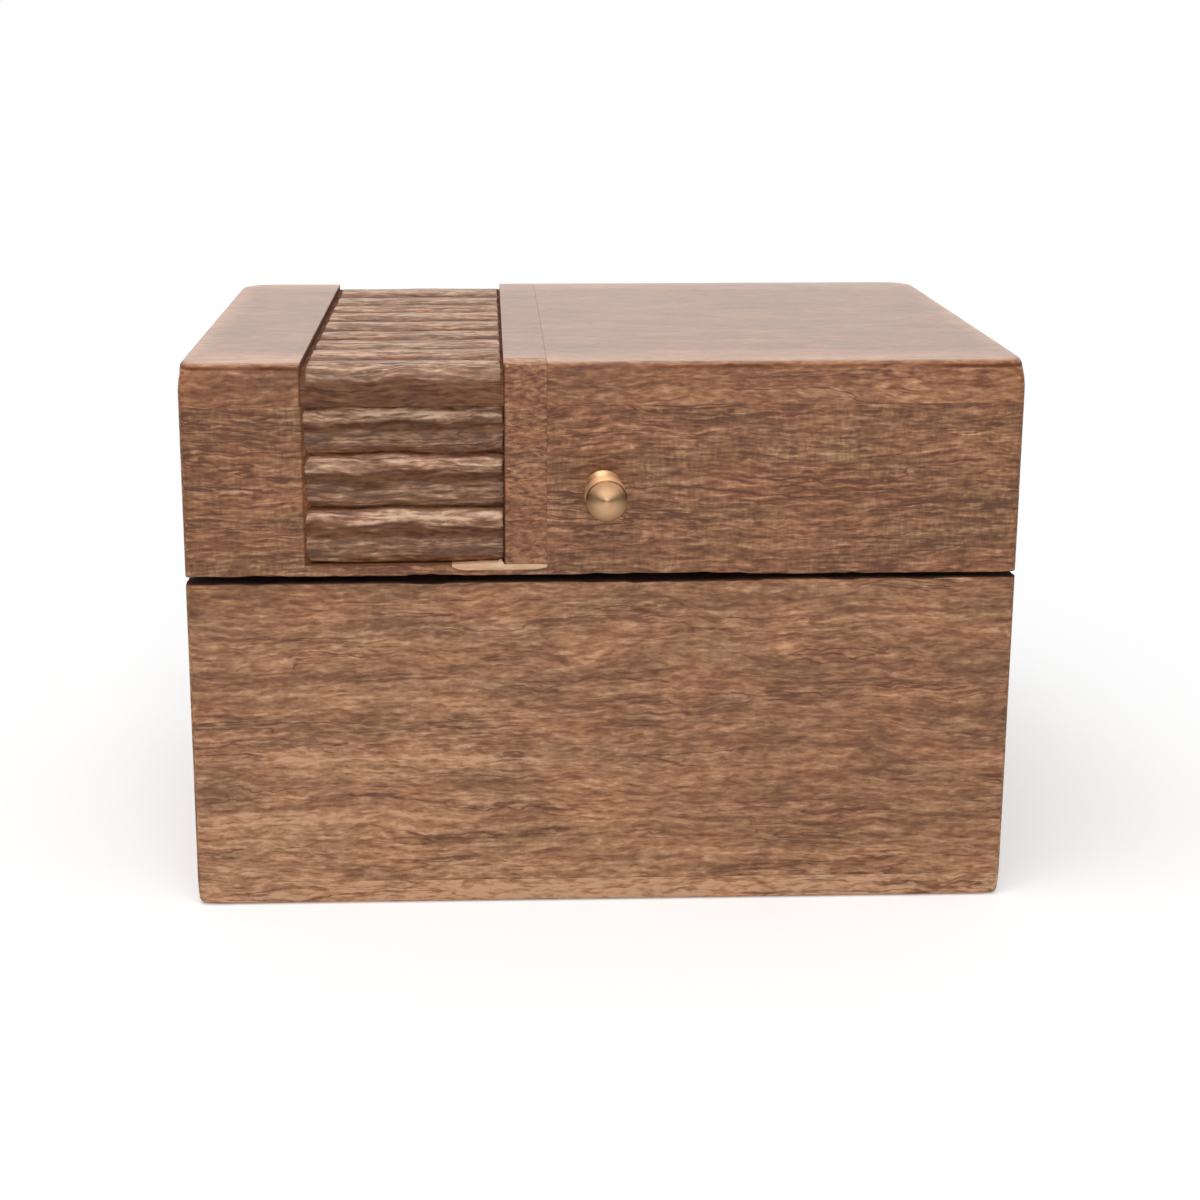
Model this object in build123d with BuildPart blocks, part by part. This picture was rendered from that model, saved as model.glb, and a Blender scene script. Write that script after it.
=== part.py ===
from build123d import *
import os

# Recipe box in mango wood: a mitred base on a planted bottom board, and a hinged
# lid with a carved band that runs over its top and down its front.
# Millimetres. The front faces -Y, +X is to the right, +Z is up, and the origin is
# the centre of the underside.

os.makedirs("parts", exist_ok=True)

# Overall size, without the knob and the hinge barrels
width = 180.0
depth = 120.0
base_height = 75.0
lid_height = 47.0
seam_gap = 0.8

# Boards
wall = 9.4
bottom_board = 5.5
top_board = 9.4
corner_round = 0.9
arris_ease = 0.5
seam_ease = 0.35

# Carved band, from the left end of the lid to the right
left_board_width = 25.8
band_width = 42.9
filler_width = 9.2
channel_depth = 5.0
rail_height = 2.8

# Reeds: widths as the carver set them out, and how deep the gouge went
top_reeds = (12.0, 12.0, 14.0, 12.5, 14.0, 13.0, 12.0, 15.0, 15.5)
front_reeds = (12.3, 12.1, 10.8)
top_reed_depth = 1.8
front_reed_depth = 2.2
crest_drop = 0.4
nose_drop = 1.0
crest_place = 0.45

# Dark border cut down both ends of the reeds
left_border = 1.2
right_border = 0.7
border_depth = 3.0
reed_end_round = 1.6

# Pale wedge under the filler strip
wedge_length = 20.5
wedge_point = 3.0
wedge_thick_end = 1.5
wedge_thin_end = 0.9

# Knob and its screw
knob_height_in_lid = 19.5
flange_radius = 4.0
flange_thickness = 0.7
neck_radius = 2.7
neck_length = 5.1
neck_taper = 1.9
head_radius = 4.4
head_thickness = 5.4
head_bevel = 0.6
face_rise = 0.4
knob_screw_radius = 1.5
knob_screw_reach = 6.0
knob_screw_head_radius = 2.8
knob_screw_head_height = 1.9
tapped_clearance = 0.05
drilled_clearance = 0.2

# Butt hinges
hinge_inset = 38.0
hinge_length = 25.0
leaf_thickness = 0.8
leaf_reach = 7.6
barrel_radius = 1.8
barrel_stand_off = 0.3
pin_radius = 0.8
pin_clearance = 0.05
knuckle_count = 3
knuckle_gap = 0.2
mortise_clearance = 0.1

# Hinge screws
screw_spacing = 15.0
screw_edge = 4.2
screw_radius = 0.8
screw_head_radius = 1.7
screw_length = 9.0
screw_clearance = 0.05
screw_sink = 0.04

# Levels
lid_bottom = base_height + seam_gap
lid_top = lid_bottom + lid_height
top_underside = lid_top - top_board
base_wall_height = base_height - bottom_board
lid_wall_height = lid_height - top_board
rail_top = lid_bottom + rail_height
panel_height = top_underside - rail_top
knob_level = lid_bottom + knob_height_in_lid

# Faces and joints
front_y = -depth / 2
back_y = depth / 2
channel_y = front_y + channel_depth
inner_front_y = front_y + wall
band_left = left_board_width - width / 2
band_right = band_left + band_width
filler_right = band_right + filler_width

# Hinge line, behind the back face and midway in the seam
axis_y = back_y + barrel_radius + barrel_stand_off
axis_z = base_height + seam_gap / 2
hinge_centre = width / 2 - hinge_inset
hinge_ends = {"left": -hinge_centre, "right": hinge_centre}
knuckle_length = (hinge_length - (knuckle_count - 1) * knuckle_gap) / knuckle_count
knuckle_pitch = knuckle_length + knuckle_gap
screw_y = back_y - screw_edge
screw_places = [
    (centre + side * screw_spacing / 2, screw_y)
    for centre in hinge_ends.values()
    for side in (-1, 1)
]

# One plane for each wall, with its X along the wall and its -Y pointing outwards
front_plane = Plane((0, 0, 0), x_dir=(1, 0, 0), z_dir=(0, 0, 1))
back_plane = Plane((0, 0, 0), x_dir=(-1, 0, 0), z_dir=(0, 0, 1))
left_plane = Plane((0, 0, 0), x_dir=(0, -1, 0), z_dir=(0, 0, 1))
right_plane = Plane((0, 0, 0), x_dir=(0, 1, 0), z_dir=(0, 0, 1))


def draw_wall_plan(length, span):
    """Plan of one wall: its outer face is length long, and both ends are mitred."""
    outer = -span / 2
    inner = outer + wall
    with BuildLine() as outline:
        Polyline(
            (-length / 2, outer),
            (length / 2, outer),
            (length / 2 - wall, inner),
            (wall - length / 2, inner),
            close=True,
        )
    make_face(outline.edges())


def draw_block(low_x, high_x, low_y, high_y):
    """Rectangle between two corners of the open sketch."""
    with Locations(((low_x + high_x) / 2, (low_y + high_y) / 2)):
        Rectangle(high_x - low_x, high_y - low_y)


def draw_reeds(widths, length, body, crest, end_level):
    """Side view of a carved row: a flat back, and one arc over each reed.

    The widths are set out over the whole length. The grooves lie at the level
    body, the crests at crest, and the row's two ends at end_level.
    """
    scale = length / sum(widths)
    with BuildLine() as outline:
        start = (0, end_level)
        Line((0, 0), start)
        for number, reed in enumerate(widths):
            reed_width = reed * scale
            last = number == len(widths) - 1
            finish = (length, end_level) if last else (start[0] + reed_width, body)
            top = (start[0] + crest_place * reed_width, crest)
            ThreePointArc(start, top, finish)
            start = finish
        Polyline(start, (length, 0), (0, 0))
    make_face(outline.edges())


def draw_band_section(thickness):
    """Cross section of the band: full width at the back, rounded between borders."""
    crest = thickness - crest_drop
    shoulder = thickness - border_depth
    draw_block(0, band_width, 0, shoulder)
    draw_block(left_border, band_width - right_border, 0, crest)
    corners = (Vector(left_border, crest), Vector(band_width - right_border, crest))
    for corner in corners:
        nearest = vertices().sort_by_distance(corner)[0]
        fillet(nearest, radius=reed_end_round)


def draw_knuckle(leaf_bottom):
    """End view of a knuckle, with the web that joins it to its leaf."""
    draw_block(back_y - leaf_thickness, axis_y, leaf_bottom, leaf_bottom + leaf_thickness)
    with Locations((axis_y, axis_z)):
        Circle(barrel_radius)
        Circle(pin_radius + pin_clearance, mode=Mode.SUBTRACT)


def draw_hinge_screw():
    """Half outline of a countersunk screw, its head uppermost at zero."""
    head_height = screw_head_radius - screw_radius
    with BuildLine() as outline:
        Polyline(
            (0, -screw_sink),
            (screw_head_radius, -screw_sink),
            (screw_radius, -screw_sink - head_height),
            (screw_radius, -screw_length),
            (0, -screw_length),
            close=True,
        )
    make_face(outline.edges())


# Outer forms: every board is trimmed to one of these two eased blocks

with BuildPart() as base_form:
    with BuildSketch(Plane.XY):
        RectangleRounded(width, depth, corner_round)
    extrude(amount=base_height)
    chamfer(base_form.faces().sort_by(Axis.Z)[0].edges(), length=arris_ease)
    chamfer(base_form.faces().sort_by(Axis.Z)[-1].edges(), length=seam_ease)

with BuildPart() as lid_form:
    with BuildSketch(Plane.XY.offset(lid_bottom)):
        RectangleRounded(width, depth, corner_round)
    extrude(amount=lid_height)
    chamfer(lid_form.faces().sort_by(Axis.Z)[0].edges(), length=seam_ease)
    chamfer(lid_form.faces().sort_by(Axis.Z)[-1].edges(), length=arris_ease)

# Base: bottom board and three plain walls

with BuildPart() as base_bottom:
    with BuildSketch(Plane.XY):
        Rectangle(width, depth)
    extrude(amount=bottom_board)
    add(base_form.part, mode=Mode.INTERSECT)
base_bottom.part.label = "base_bottom"
export_step(base_bottom.part, "parts/base_bottom.step")

with BuildPart() as base_front:
    with BuildSketch(front_plane.offset(bottom_board)):
        draw_wall_plan(width, depth)
    extrude(amount=base_wall_height)
    add(base_form.part, mode=Mode.INTERSECT)
base_front.part.label = "base_front"
export_step(base_front.part, "parts/base_front.step")

with BuildPart() as base_left_side:
    with BuildSketch(left_plane.offset(bottom_board)):
        draw_wall_plan(depth, width)
    extrude(amount=base_wall_height)
    add(base_form.part, mode=Mode.INTERSECT)
base_left_side.part.label = "base_left_side"
export_step(base_left_side.part, "parts/base_left_side.step")

with BuildPart() as base_right_side:
    with BuildSketch(right_plane.offset(bottom_board)):
        draw_wall_plan(depth, width)
    extrude(amount=base_wall_height)
    add(base_form.part, mode=Mode.INTERSECT)
base_right_side.part.label = "base_right_side"
export_step(base_right_side.part, "parts/base_right_side.step")

# Back walls: mortised for the leaves and drilled for their screws

mortise_front = back_y - leaf_reach - mortise_clearance
screw_hole_depth = screw_length + mortise_clearance

with BuildPart() as base_back:
    with BuildSketch(back_plane.offset(bottom_board)):
        draw_wall_plan(width, depth)
    extrude(amount=base_wall_height)
    add(base_form.part, mode=Mode.INTERSECT)
    with BuildSketch(Plane.XY.offset(base_height - leaf_thickness)):
        for centre in hinge_ends.values():
            half = hinge_length / 2 + mortise_clearance
            draw_block(centre - half, centre + half, mortise_front, back_y + mortise_clearance)
    extrude(amount=leaf_thickness, mode=Mode.SUBTRACT)
    with BuildSketch(Plane.XY.offset(base_height)):
        with Locations(*screw_places):
            Circle(screw_radius + drilled_clearance)
    extrude(amount=-screw_hole_depth, mode=Mode.SUBTRACT)
base_back.part.label = "base_back"
export_step(base_back.part, "parts/base_back.step")

with BuildPart() as lid_back:
    with BuildSketch(back_plane.offset(lid_bottom)):
        draw_wall_plan(width, depth)
    extrude(amount=lid_wall_height)
    add(lid_form.part, mode=Mode.INTERSECT)
    with BuildSketch(Plane.XY.offset(lid_bottom)):
        for centre in hinge_ends.values():
            half = hinge_length / 2 + mortise_clearance
            draw_block(centre - half, centre + half, mortise_front, back_y + mortise_clearance)
    extrude(amount=leaf_thickness, mode=Mode.SUBTRACT)
    with BuildSketch(Plane.XY.offset(lid_bottom)):
        with Locations(*screw_places):
            Circle(screw_radius + drilled_clearance)
    extrude(amount=screw_hole_depth, mode=Mode.SUBTRACT)
lid_back.part.label = "lid_back"
export_step(lid_back.part, "parts/lid_back.step")

# Lid: plain side walls, and the front wall with its channel

with BuildPart() as lid_left_side:
    with BuildSketch(left_plane.offset(lid_bottom)):
        draw_wall_plan(depth, width)
    extrude(amount=lid_wall_height)
    add(lid_form.part, mode=Mode.INTERSECT)
lid_left_side.part.label = "lid_left_side"
export_step(lid_left_side.part, "parts/lid_left_side.step")

with BuildPart() as lid_right_side:
    with BuildSketch(right_plane.offset(lid_bottom)):
        draw_wall_plan(depth, width)
    extrude(amount=lid_wall_height)
    add(lid_form.part, mode=Mode.INTERSECT)
lid_right_side.part.label = "lid_right_side"
export_step(lid_right_side.part, "parts/lid_right_side.step")


def draw_wedge():
    """Front view of the wedge: level on top, pointed at its left end."""
    wedge_left = filler_right - wedge_length
    with BuildLine() as outline:
        Polyline(
            (filler_right, rail_top),
            (filler_right, rail_top - wedge_thin_end),
            (wedge_left + wedge_point, rail_top - wedge_thick_end),
            (wedge_left, rail_top),
            close=True,
        )
    make_face(outline.edges())


channel_face = Plane.XZ.offset(-channel_y)
knob_axis = Axis((0, front_y, knob_level), (0, -1, 0))

with BuildPart() as lid_front:
    with BuildSketch(front_plane.offset(lid_bottom)):
        draw_wall_plan(width, depth)
    extrude(amount=lid_wall_height)
    add(lid_form.part, mode=Mode.INTERSECT)
    with BuildSketch(channel_face):
        draw_block(band_left, filler_right, rail_top, top_underside)
        draw_wedge()
    extrude(amount=channel_depth, mode=Mode.SUBTRACT)
    with BuildSketch(Plane.XZ.offset(-inner_front_y)):
        with Locations((0, knob_level)):
            Circle(knob_screw_radius + drilled_clearance)
    extrude(amount=wall, mode=Mode.SUBTRACT)
lid_front.part.label = "lid_front"
export_step(lid_front.part, "parts/lid_front.step")

with BuildPart() as light_wedge:
    with BuildSketch(channel_face):
        draw_wedge()
    extrude(amount=channel_depth)
light_wedge.part.label = "light_wedge"
export_step(light_wedge.part, "parts/light_wedge.step")

# Top of the lid: two plain boards and the filler strip between them

with BuildPart() as top_left_board:
    with BuildSketch(Plane.XY.offset(top_underside)):
        draw_block(-width / 2, band_left, front_y, back_y)
    extrude(amount=top_board)
    add(lid_form.part, mode=Mode.INTERSECT)
top_left_board.part.label = "top_left_board"
export_step(top_left_board.part, "parts/top_left_board.step")

with BuildPart() as top_right_board:
    with BuildSketch(Plane.XY.offset(top_underside)):
        draw_block(filler_right, width / 2, front_y, back_y)
    extrude(amount=top_board)
    add(lid_form.part, mode=Mode.INTERSECT)
top_right_board.part.label = "top_right_board"
export_step(top_right_board.part, "parts/top_right_board.step")

with BuildPart() as top_filler_strip:
    with BuildSketch(Plane.XY.offset(top_underside)):
        draw_block(band_right, filler_right, channel_y, back_y)
    extrude(amount=top_board)
    add(lid_form.part, mode=Mode.INTERSECT)
top_filler_strip.part.label = "top_filler_strip"
export_step(top_filler_strip.part, "parts/top_filler_strip.step")

with BuildPart() as front_filler_strip:
    with BuildSketch(channel_face):
        draw_block(band_right, filler_right, rail_top, lid_top)
    extrude(amount=channel_depth)
    add(lid_form.part, mode=Mode.INTERSECT)
front_filler_strip.part.label = "front_filler_strip"
export_step(front_filler_strip.part, "parts/front_filler_strip.step")

# Carved band: the reeds are set out in the side view, and trimmed to the cross
# section, which cuts the borders and rounds the reeds' ends

slab_crest = top_board - crest_drop
slab_side = Plane((band_left, front_y, top_underside), x_dir=(0, 1, 0), z_dir=(1, 0, 0))
slab_end = Plane((band_left, front_y, top_underside), x_dir=(1, 0, 0), z_dir=(0, -1, 0))

with BuildPart() as carved_top_slab:
    with BuildSketch(slab_side):
        draw_reeds(
            top_reeds, depth, slab_crest - top_reed_depth, slab_crest, slab_crest - nose_drop
        )
    extrude(amount=band_width)
    with BuildSketch(slab_end):
        draw_band_section(top_board)
    extrude(amount=-depth, mode=Mode.INTERSECT)
carved_top_slab.part.label = "carved_top_slab"
export_step(carved_top_slab.part, "parts/carved_top_slab.step")

panel_crest = channel_depth - crest_drop
panel_groove = panel_crest - front_reed_depth
panel_side = Plane((band_left, channel_y, rail_top), x_dir=(0, 0, 1), z_dir=(1, 0, 0))
panel_end = Plane((band_left, channel_y, rail_top), x_dir=(1, 0, 0), z_dir=(0, 0, -1))

with BuildPart() as carved_front_panel:
    with BuildSketch(panel_side):
        draw_reeds(front_reeds, panel_height, panel_groove, panel_crest, panel_groove)
    extrude(amount=band_width)
    with BuildSketch(panel_end):
        draw_band_section(channel_depth)
    extrude(amount=-panel_height, mode=Mode.INTERSECT)
carved_front_panel.part.label = "carved_front_panel"
export_step(carved_front_panel.part, "parts/carved_front_panel.step")

# Knob: a thin flange that tapers to the neck, and a head with a faced front

head_back = flange_thickness + neck_length
head_front = head_back + head_thickness
knob_plane = Plane((0, front_y, knob_level), x_dir=(1, 0, 0), z_dir=(0, 0, -1))

with BuildPart() as knob:
    with BuildSketch(knob_plane):
        with BuildLine():
            Polyline(
                (0, 0),
                (flange_radius, 0),
                (flange_radius, flange_thickness),
                (neck_radius, flange_thickness + neck_taper),
                (neck_radius, head_back),
                (head_radius, head_back),
                (head_radius, head_front - head_bevel),
                (head_radius - head_bevel, head_front),
                (0, head_front + face_rise),
                (0, 0),
            )
        make_face()
    revolve(axis=knob_axis)
    with BuildSketch(Plane.XZ.offset(-front_y)):
        with Locations((0, knob_level)):
            Circle(knob_screw_radius + tapped_clearance)
    extrude(amount=knob_screw_reach + drilled_clearance, mode=Mode.SUBTRACT)
knob.part.label = "knob"
export_step(knob.part, "parts/knob.step")

with BuildPart() as knob_screw:
    with BuildSketch(Plane.XZ.offset(-inner_front_y)):
        with Locations((0, knob_level)):
            Circle(knob_screw_radius)
    extrude(amount=wall + knob_screw_reach)
    with BuildSketch(Plane.XZ.offset(-inner_front_y)):
        with Locations((0, knob_level)):
            Circle(knob_screw_head_radius)
    extrude(amount=-knob_screw_head_height)
    head_rim = knob_screw.edges().filter_by(GeomType.CIRCLE).group_by(Axis.Y)[-1]
    chamfer(head_rim, length=knob_screw_head_height / 2)
knob_screw.part.label = "knob_screw"
export_step(knob_screw.part, "parts/knob_screw.step")

# Hinges: the lower leaf carries the outer knuckles, the upper leaf the one between

for side, centre in hinge_ends.items():
    barrel_start = centre - hinge_length / 2
    knuckle_starts = [barrel_start + number * knuckle_pitch for number in range(knuckle_count)]
    leaf_screws = [place for place in screw_places if abs(place[0] - centre) < hinge_length / 2]

    with BuildPart() as lower_leaf:
        with BuildSketch(Plane.XY.offset(base_height - leaf_thickness)):
            draw_block(barrel_start, barrel_start + hinge_length, back_y - leaf_reach, back_y)
        extrude(amount=leaf_thickness)
        for start in knuckle_starts[::2]:
            with BuildSketch(Plane.YZ.offset(start)):
                draw_knuckle(base_height - leaf_thickness)
            extrude(amount=knuckle_length)
        rim = Plane.XY.offset(base_height)
        with Locations(*[rim * Location((x, y, 0)) for x, y in leaf_screws]):
            CounterSinkHole(screw_radius + screw_clearance, screw_head_radius + screw_clearance)
    lower_leaf.part.label = f"hinge_{side}_lower_leaf"
    export_step(lower_leaf.part, f"parts/hinge_{side}_lower_leaf.step")

    with BuildPart() as upper_leaf:
        with BuildSketch(Plane.XY.offset(lid_bottom)):
            draw_block(barrel_start, barrel_start + hinge_length, back_y - leaf_reach, back_y)
        extrude(amount=leaf_thickness)
        for start in knuckle_starts[1::2]:
            with BuildSketch(Plane.YZ.offset(start)):
                draw_knuckle(lid_bottom)
            extrude(amount=knuckle_length)
        rim = Plane((0, 0, lid_bottom), x_dir=(1, 0, 0), z_dir=(0, 0, -1))
        with Locations(*[rim * Location((x, -y, 0)) for x, y in leaf_screws]):
            CounterSinkHole(screw_radius + screw_clearance, screw_head_radius + screw_clearance)
    upper_leaf.part.label = f"hinge_{side}_upper_leaf"
    export_step(upper_leaf.part, f"parts/hinge_{side}_upper_leaf.step")

    with BuildPart() as hinge_pin:
        with BuildSketch(Plane.YZ.offset(barrel_start)):
            with Locations((axis_y, axis_z)):
                Circle(pin_radius)
        extrude(amount=hinge_length)
    hinge_pin.part.label = f"hinge_{side}_pin"
    export_step(hinge_pin.part, f"parts/hinge_{side}_pin.step")

# Hinge screws: those of the base point down, those of the lid point up

with BuildPart() as base_hinge_screws:
    for x, y in screw_places:
        with BuildSketch(Plane((x, y, base_height), x_dir=(1, 0, 0), z_dir=(0, -1, 0))):
            draw_hinge_screw()
        revolve(axis=Axis((x, y, base_height), (0, 0, 1)))
base_hinge_screws.part.label = "base_hinge_screws"
export_step(base_hinge_screws.part, "parts/base_hinge_screws.step")

with BuildPart() as lid_hinge_screws:
    for x, y in screw_places:
        with BuildSketch(Plane((x, y, lid_bottom), x_dir=(1, 0, 0), z_dir=(0, 1, 0))):
            draw_hinge_screw()
        revolve(axis=Axis((x, y, lid_bottom), (0, 0, 1)))
lid_hinge_screws.part.label = "lid_hinge_screws"
export_step(lid_hinge_screws.part, "parts/lid_hinge_screws.step")
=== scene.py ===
"""Recipe box in mango wood: a plain base, and a hinged lid with a carved band.

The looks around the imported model, in its frame: metres, the front faces -Y and +Z is
up. Sizes in the classes are millimetres, and become metres where a mesh is made.
"""

import logging
import math
from dataclasses import dataclass
from enum import Enum

import bmesh
import bpy
import numpy as np
from mathutils import Euler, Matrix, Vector, noise


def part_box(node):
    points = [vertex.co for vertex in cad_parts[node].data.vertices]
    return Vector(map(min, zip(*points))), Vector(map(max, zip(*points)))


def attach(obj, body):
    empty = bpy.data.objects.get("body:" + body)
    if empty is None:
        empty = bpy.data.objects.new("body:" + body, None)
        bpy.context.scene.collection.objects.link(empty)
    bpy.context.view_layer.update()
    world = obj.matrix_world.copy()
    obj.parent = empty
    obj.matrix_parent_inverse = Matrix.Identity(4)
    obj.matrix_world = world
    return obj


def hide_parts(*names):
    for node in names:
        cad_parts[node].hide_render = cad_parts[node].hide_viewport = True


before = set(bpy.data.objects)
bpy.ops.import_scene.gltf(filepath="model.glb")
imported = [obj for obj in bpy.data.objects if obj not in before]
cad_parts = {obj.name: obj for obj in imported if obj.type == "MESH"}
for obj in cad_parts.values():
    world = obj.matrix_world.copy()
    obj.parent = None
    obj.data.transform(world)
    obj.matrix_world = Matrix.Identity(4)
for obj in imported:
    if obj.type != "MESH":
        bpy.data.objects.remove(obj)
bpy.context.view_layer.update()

MM = 0.001
WHITE = (1.0, 1.0, 1.0, 1.0)
MATH = "ShaderNodeMath"
VECTOR_MATH = "ShaderNodeVectorMath"
MAP_RANGE = "ShaderNodeMapRange"
MIX = "ShaderNodeMix"
TEX_NOISE = "ShaderNodeTexNoise"
COMBINE = "ShaderNodeCombineXYZ"
SEPARATE = "ShaderNodeSeparateXYZ"
log = logging.getLogger("recipe_box")

Colour = tuple[float, float, float, float]
Place = tuple[float, float, float]
Span = tuple[float, float]
Tree = bpy.types.NodeTree
Node = bpy.types.Node
Socket = bpy.types.NodeSocket
Sockets = bpy.types.bpy_prop_collection


def add_node(
    tree: Tree,
    kind: str,
    inputs: dict[str | int, object] | tuple[object, ...] = (),
    **settings: object,
) -> Node:
    """Add a node with its settings, and fill or link its inputs.

    Args:
        tree: The shader or geometry tree that gets the node.
        kind: Blender's type name of the node.
        inputs: Value for each input, by name or number, or for the first ones in
            order. A socket or a node is linked, and anything else is written on
            the input itself.
        **settings: The node's own properties.

    Returns:
        The new node.
    """
    node = tree.nodes.new(kind)
    for name, value in settings.items():
        setattr(node, name, value)
    for key, value in inputs.items() if isinstance(inputs, dict) else enumerate(inputs):
        if isinstance(value, Node):
            value = next(socket for socket in value.outputs if socket.enabled)
        if isinstance(value, Socket):
            tree.links.new(value, node.inputs[key])
        else:
            node.inputs[key].default_value = value
    return node


def linear(code: str) -> Colour:
    """Linear colour of an sRGB hex code.

    Args:
        code: The code, such as #8f6850.

    Returns:
        Red, green, blue and an alpha of 1.
    """
    levels = [int(code[start : start + 2], 16) / 255 for start in (1, 3, 5)]
    red, green, blue = [
        level / 12.92 if level <= 0.04045 else ((level + 0.055) / 1.055) ** 2.4
        for level in levels
    ]
    return (red, green, blue, 1.0)


def node_box(node: str) -> tuple[Vector, Vector]:
    """Lowest and highest corner of a CAD node, in millimetres."""
    low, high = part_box(node)
    return low / MM, high / MM


def new_material(name: str) -> bpy.types.Material:
    """Start a material on an empty tree.

    Args:
        name: The finish's name.

    Returns:
        The material.
    """
    material = bpy.data.materials.new(name)
    material.use_nodes = True
    material.node_tree.nodes.clear()
    return material


def add_piece(mesh: bpy.types.Mesh, name: str, finish: bpy.types.Material) -> bpy.types.Object:
    """Link a finished mesh into the scene, at the origin, with its finish.

    Args:
        mesh: The mesh, already in its place in the frame.
        name: The piece's name.
        finish: The material of all its faces.

    Returns:
        The new object.
    """
    piece = bpy.data.objects.new(name, mesh)
    bpy.context.scene.collection.objects.link(piece)
    mesh.materials.clear()
    mesh.materials.append(finish)
    return piece


def hand_over(piece: bpy.types.Object, body: str, slot: str, *nodes: str) -> None:
    """Let a finished piece ride on its body and stand for its CAD nodes.

    Args:
        piece: The finished piece.
        body: The body that carries it.
        slot: The record's material slot of its finish; not used.
        *nodes: The CAD nodes that it replaces.
    """
    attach(piece, body)
    if nodes:
        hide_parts(*nodes)
    log.info("%s: %d faces, on %s", piece.name, len(piece.data.polygons), body)


def open_tree(name: str, sockets: dict[str, tuple[str, ...]]) -> Tree:
    """Start a geometry tree with named inputs and one geometry output.

    Args:
        name: The tree's name.
        sockets: Names of the inputs under each kind of value: Float, Int and so on.

    Returns:
        The tree, which still has no nodes.
    """
    tree = bpy.data.node_groups.new(name, "GeometryNodeTree")
    for kind, names in sockets.items():
        for socket in names:
            tree.interface.new_socket(socket, in_out="INPUT", socket_type=f"NodeSocket{kind}")
    tree.interface.new_socket("Geometry", in_out="OUTPUT", socket_type="NodeSocketGeometry")
    return tree


def close_tree(tree: Tree, wanted: Sockets, shape: Node) -> None:
    """Turn a tree's shape to its place, in metres, dress it and send it out.

    Args:
        tree: The geometry tree, which worked in millimetres so far.
        wanted: Its inputs, with a Turn, a Place and a Material among them.
        shape: The node that gives the whole shape.
    """
    move = {
        "Geometry": shape,
        "Translation": wanted["Place"],
        "Rotation": wanted["Turn"],
        "Scale": (MM, MM, MM),
    }
    moved = add_node(tree, "GeometryNodeTransform", move)
    real = add_node(tree, "GeometryNodeRealizeInstances", {"Geometry": moved})
    smooth = add_node(tree, "GeometryNodeSetShadeSmooth", {"Geometry": real})
    dressed = {"Geometry": smooth, "Material": wanted["Material"]}
    dressed = add_node(tree, "GeometryNodeSetMaterial", dressed)
    add_node(tree, "NodeGroupOutput", {"Geometry": dressed})


def grow_piece(name: str, tree: Tree, sizes: dict[str, object], sharp: float) -> bpy.types.Object:
    """Run a geometry tree once and keep what it makes as a plain mesh.

    Args:
        name: The piece's name.
        tree: The tree.
        sizes: A value for each input that doesn't keep its default, by name.
        sharp: Angle in degrees over which an edge stays sharp.

    Returns:
        The piece, with no modifier left on it.
    """
    piece = add_piece(bpy.data.meshes.new(name), name, sizes["Material"])
    modifier = piece.modifiers.new("shape", "NODES")
    modifier.node_group = tree
    for item in tree.interface.items_tree:
        if item.in_out == "INPUT" and item.name in sizes:
            modifier[item.identifier] = sizes[item.name]
    graph = bpy.context.evaluated_depsgraph_get()
    mesh = bpy.data.meshes.new_from_object(piece.evaluated_get(graph))
    piece.modifiers.clear()
    piece.data = mesh
    mesh.set_sharp_from_angle(angle=math.radians(sharp))
    return piece


class Grain(Enum):
    """Which way a board's fibres run, as the turn that brings them to X."""

    ALONG_X = (0.0, 0.0, 0.0)
    ALONG_Y = (0.0, 0.0, -math.pi / 2)
    ALONG_Z = (0.0, math.pi / 2, 0.0)


@dataclass(frozen=True)
class Figure:
    """One scale of a wood's figure: the real length and breadth of its marks."""

    length: float
    breadth: float
    detail: float = 2.0
    roughness: float = 0.5

    def draw(self, tree: Tree, at: Node) -> Node:
        """Noise drawn out along the fibres.

        Args:
            tree: The material's tree.
            at: The place in the log, in millimetres.

        Returns:
            The noise node, whose values spread around 0.5.
        """
        stretch = (1 / self.length, 1 / self.breadth, 1 / self.breadth)
        scaled = add_node(tree, VECTOR_MATH, (at, stretch), operation="MULTIPLY")
        wanted = {"Vector": scaled, "Scale": 1.0, "Detail": self.detail, "Roughness": self.roughness}
        return add_node(tree, TEX_NOISE, wanted)


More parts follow.
